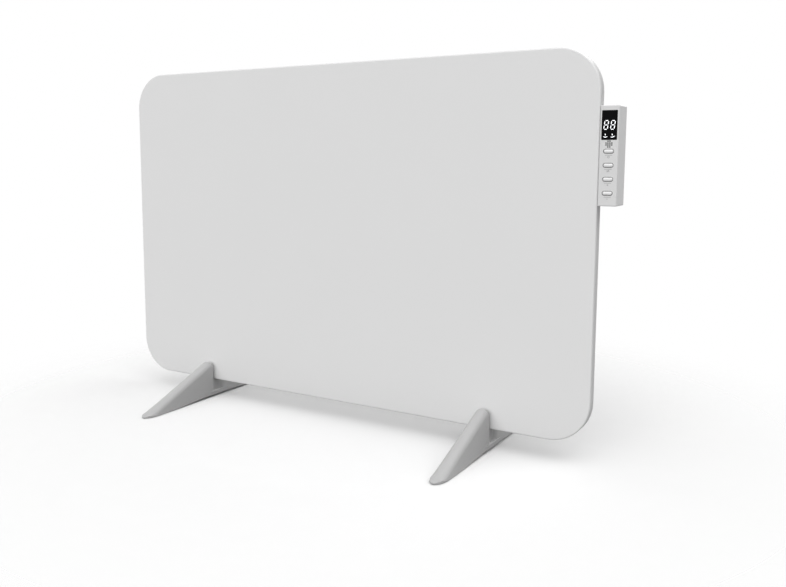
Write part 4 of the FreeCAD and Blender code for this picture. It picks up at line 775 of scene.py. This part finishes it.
# Light pipe of a white diode: it glows by itself, a little cooler and dimmer in places.
lit_segment, tree, shader, place = start("lit_light_pipe", Roughness=0.4, Emission_Strength=1.0)
haze = add(tree, "TexNoise", {"Vector": place, "Scale": every(HAZE_MM), "Detail": 2.0})
glow = add(tree, "MixRGB", {"Fac": haze.outputs["Fac"], "Color1": linear("#e9edf2"), "Color2": linear("#ffffff")})
wire(tree, shader, {"Base Color": glow.outputs["Color"], "Emission Color": glow.outputs["Color"]})

# Screen-printed ink: matt mid grey with a trace of the mesh.
printed_ink, tree, shader, place = start("screen_printed_ink", Roughness=0.7)
screen = add(tree, "TexNoise", {"Vector": place, "Scale": every(MESH_MM), "Detail": 1.0})
ink = add(tree, "MixRGB", {"Fac": screen.outputs["Fac"], "Color1": linear("#8f8f90"), "Color2": linear("#a3a3a4")})
wire(tree, shader, {"Base Color": ink.outputs["Color"]})
print("lit and printed", lit_segment.name, printed_ink.name)

# %% [markdown]
# ### Two figures
# Each figure is an eight: seven tapered segments, two upright on each side and three across, all leaning a little
# to the right as such displays do.

# %% Seven-segment figures
FIGURE_H_MM, FIGURE_W_MM, SEGMENT_MM = 13.4, 6.3, 1.0
FIGURE_PITCH_MM, FIGURE_DROP_MM = 9.7, 20.8
FIGURE_LEAN_DEG = 7.0
SEGMENT_INSET, SEGMENT_TIP = 0.13, 0.15  # share of a run left free at each end, and width of a tip

half_w, half_h = (FIGURE_W_MM - SEGMENT_MM) / 2, (FIGURE_H_MM - SEGMENT_MM) / 2
corners = np.array([[-half_w, half_h], [half_w, half_h], [-half_w, 0], [half_w, 0],
                    [-half_w, -half_h], [half_w, -half_h]])
ends = np.array([[0, 1], [2, 3], [4, 5], [0, 2], [1, 3], [2, 4], [3, 5]])
taper = SEGMENT_INSET + 0.5 * SEGMENT_MM / FIGURE_W_MM
along = np.array([SEGMENT_INSET, taper, 1 - taper, 1 - SEGMENT_INSET])[:, None]
bars = corners[ends[:, 0]][:, None] * (1 - along) + corners[ends[:, 1]][:, None] * along
bars[..., 0] += bars[..., 1] * math.tan(math.radians(FIGURE_LEAN_DEG))
figures = np.concatenate([bars + [-FIGURE_PITCH_MM / 2, 0], bars + [FIGURE_PITCH_MM / 2, 0]])
figures = figures * MM + [lens_x, lens_high[2] - FIGURE_DROP_MM * MM]
bar_widths = np.array([SEGMENT_TIP, 1.0, 1.0, SEGMENT_TIP]) * SEGMENT_MM * MM * np.ones((len(figures), 1))
closed_piece("display_figures", strokes(figures, bar_widths, ink_front, ink_back), lit_segment)

# %% [markdown]
# ### Two icons
# Under the figures sit two small signs, a warm drop over a bowl: the bowl is a shallow arc that swells in its
# middle, the drop an upright stroke that does the same. The second one is tilted.

# %% Icons
ICON_DROP_MM, ICON_PITCH_MM, ICON_W_MM, ICON_SHIFT_MM = 36.2, 10.4, 6.2, -0.5
BOWL_RISE_MM, BOWL_LOW_MM, BOWL_LINE_MM = 0.9, -2.0, 1.0
DROP_HALF_MM, DROP_MID_MM, DROP_LINE_MM = 1.2, 1.6, 1.2
ICON_TILTS_DEG = (0.0, 14.0)
ICON_STEPS, SWELL_LEAST = 13, 0.01

t = np.linspace(-1, 1, ICON_STEPS)
swell = np.sqrt(np.maximum(1 - t ** 2, SWELL_LEAST))
bowl = np.stack([t * ICON_W_MM / 2, BOWL_RISE_MM * t ** 2 + BOWL_LOW_MM], -1)
drop = np.stack([0 * t, DROP_HALF_MM * t + DROP_MID_MM], -1)
icon_x, icon_z = np.moveaxis(np.stack([bowl, drop]), -1, 0)
tilt = np.radians(ICON_TILTS_DEG)[:, None, None]
tilted = np.stack([icon_x * np.cos(tilt) - icon_z * np.sin(tilt), icon_x * np.sin(tilt) + icon_z * np.cos(tilt)], -1)
tilted[..., 0] += (np.array([-0.5, 0.5]) * ICON_PITCH_MM)[:, None, None] + ICON_SHIFT_MM
icons = tilted.reshape(-1, len(t), 2) * MM + [lens_x, lens_high[2] - ICON_DROP_MM * MM]
icon_widths = np.stack([BOWL_LINE_MM * swell, DROP_LINE_MM * swell] * len(ICON_TILTS_DEG)) * MM
closed_piece("display_icons", strokes(icons, icon_widths, ink_front, ink_back), lit_segment)

# %% [markdown]
# ### Marks under the keys
# A fine rule is printed under each key, and below it the usual sign: on and off, mode, more or less. All are drawn
# from strokes of one width.

# %% Signs
RING_R_MM, RING_GAP_DEG = 1.45, 70
BAR_HALF_MM, BAR_MID_MM = 0.75, 1.1
WAVE_HALF_MM, WAVE_H_MM, WAVE_PITCH_MM = 2.0, 0.45, 0.9
DASH_HALF_MM, ARM_HALF_MM, ARM_MID_MM = 1.5, 0.64, 0.87
SIGN_STEPS = 25

s = np.linspace(-1, 1, SIGN_STEPS)
sweep = np.radians(270 + (180 - RING_GAP_DEG / 2) * s)
ring = RING_R_MM * np.stack([np.cos(sweep), np.sin(sweep)], -1)
power_bar = np.stack([0 * s, BAR_HALF_MM * s + BAR_MID_MM], -1)
wave = np.stack([WAVE_HALF_MM * s, WAVE_H_MM * np.sin(np.pi * s)], -1)
dash = np.stack([DASH_HALF_MM * s, 0 * s], -1)
arm = np.stack([0 * s, ARM_HALF_MM * s + ARM_MID_MM], -1)
marks = {
    "power_button": np.stack([ring, power_bar]),
    "mode_button": np.stack([wave + [0, WAVE_PITCH_MM], wave, wave - [0, WAVE_PITCH_MM]]),
    "plus_button": np.stack([dash, arm, -arm]),
    "minus_button": dash[None],
}
print("strokes in the signs", {key: len(lines) for key, lines in marks.items()})

# %% Printed marks
MARK_BELOW_MM, MARK_LINE_MM = 8.3, 0.45
RULE_BELOW_MM, RULE_W_MM = 5.9, 10.5

rule = np.stack([RULE_W_MM / 2 * s, 0 * s + MARK_BELOW_MM - RULE_BELOW_MM], -1)
placed = []
for key, lines in marks.items():
    low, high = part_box(key)
    lines = np.concatenate([lines, rule[None]])
    placed.append(lines * MM + [lens_x, (low[2] + high[2]) / 2 - MARK_BELOW_MM * MM])
mark_lines = np.concatenate(placed)
mark_widths = np.full(mark_lines.shape[:2], MARK_LINE_MM * MM)
closed_piece("key_marks", strokes(mark_lines, mark_widths, ink_front, ink_back), printed_ink)
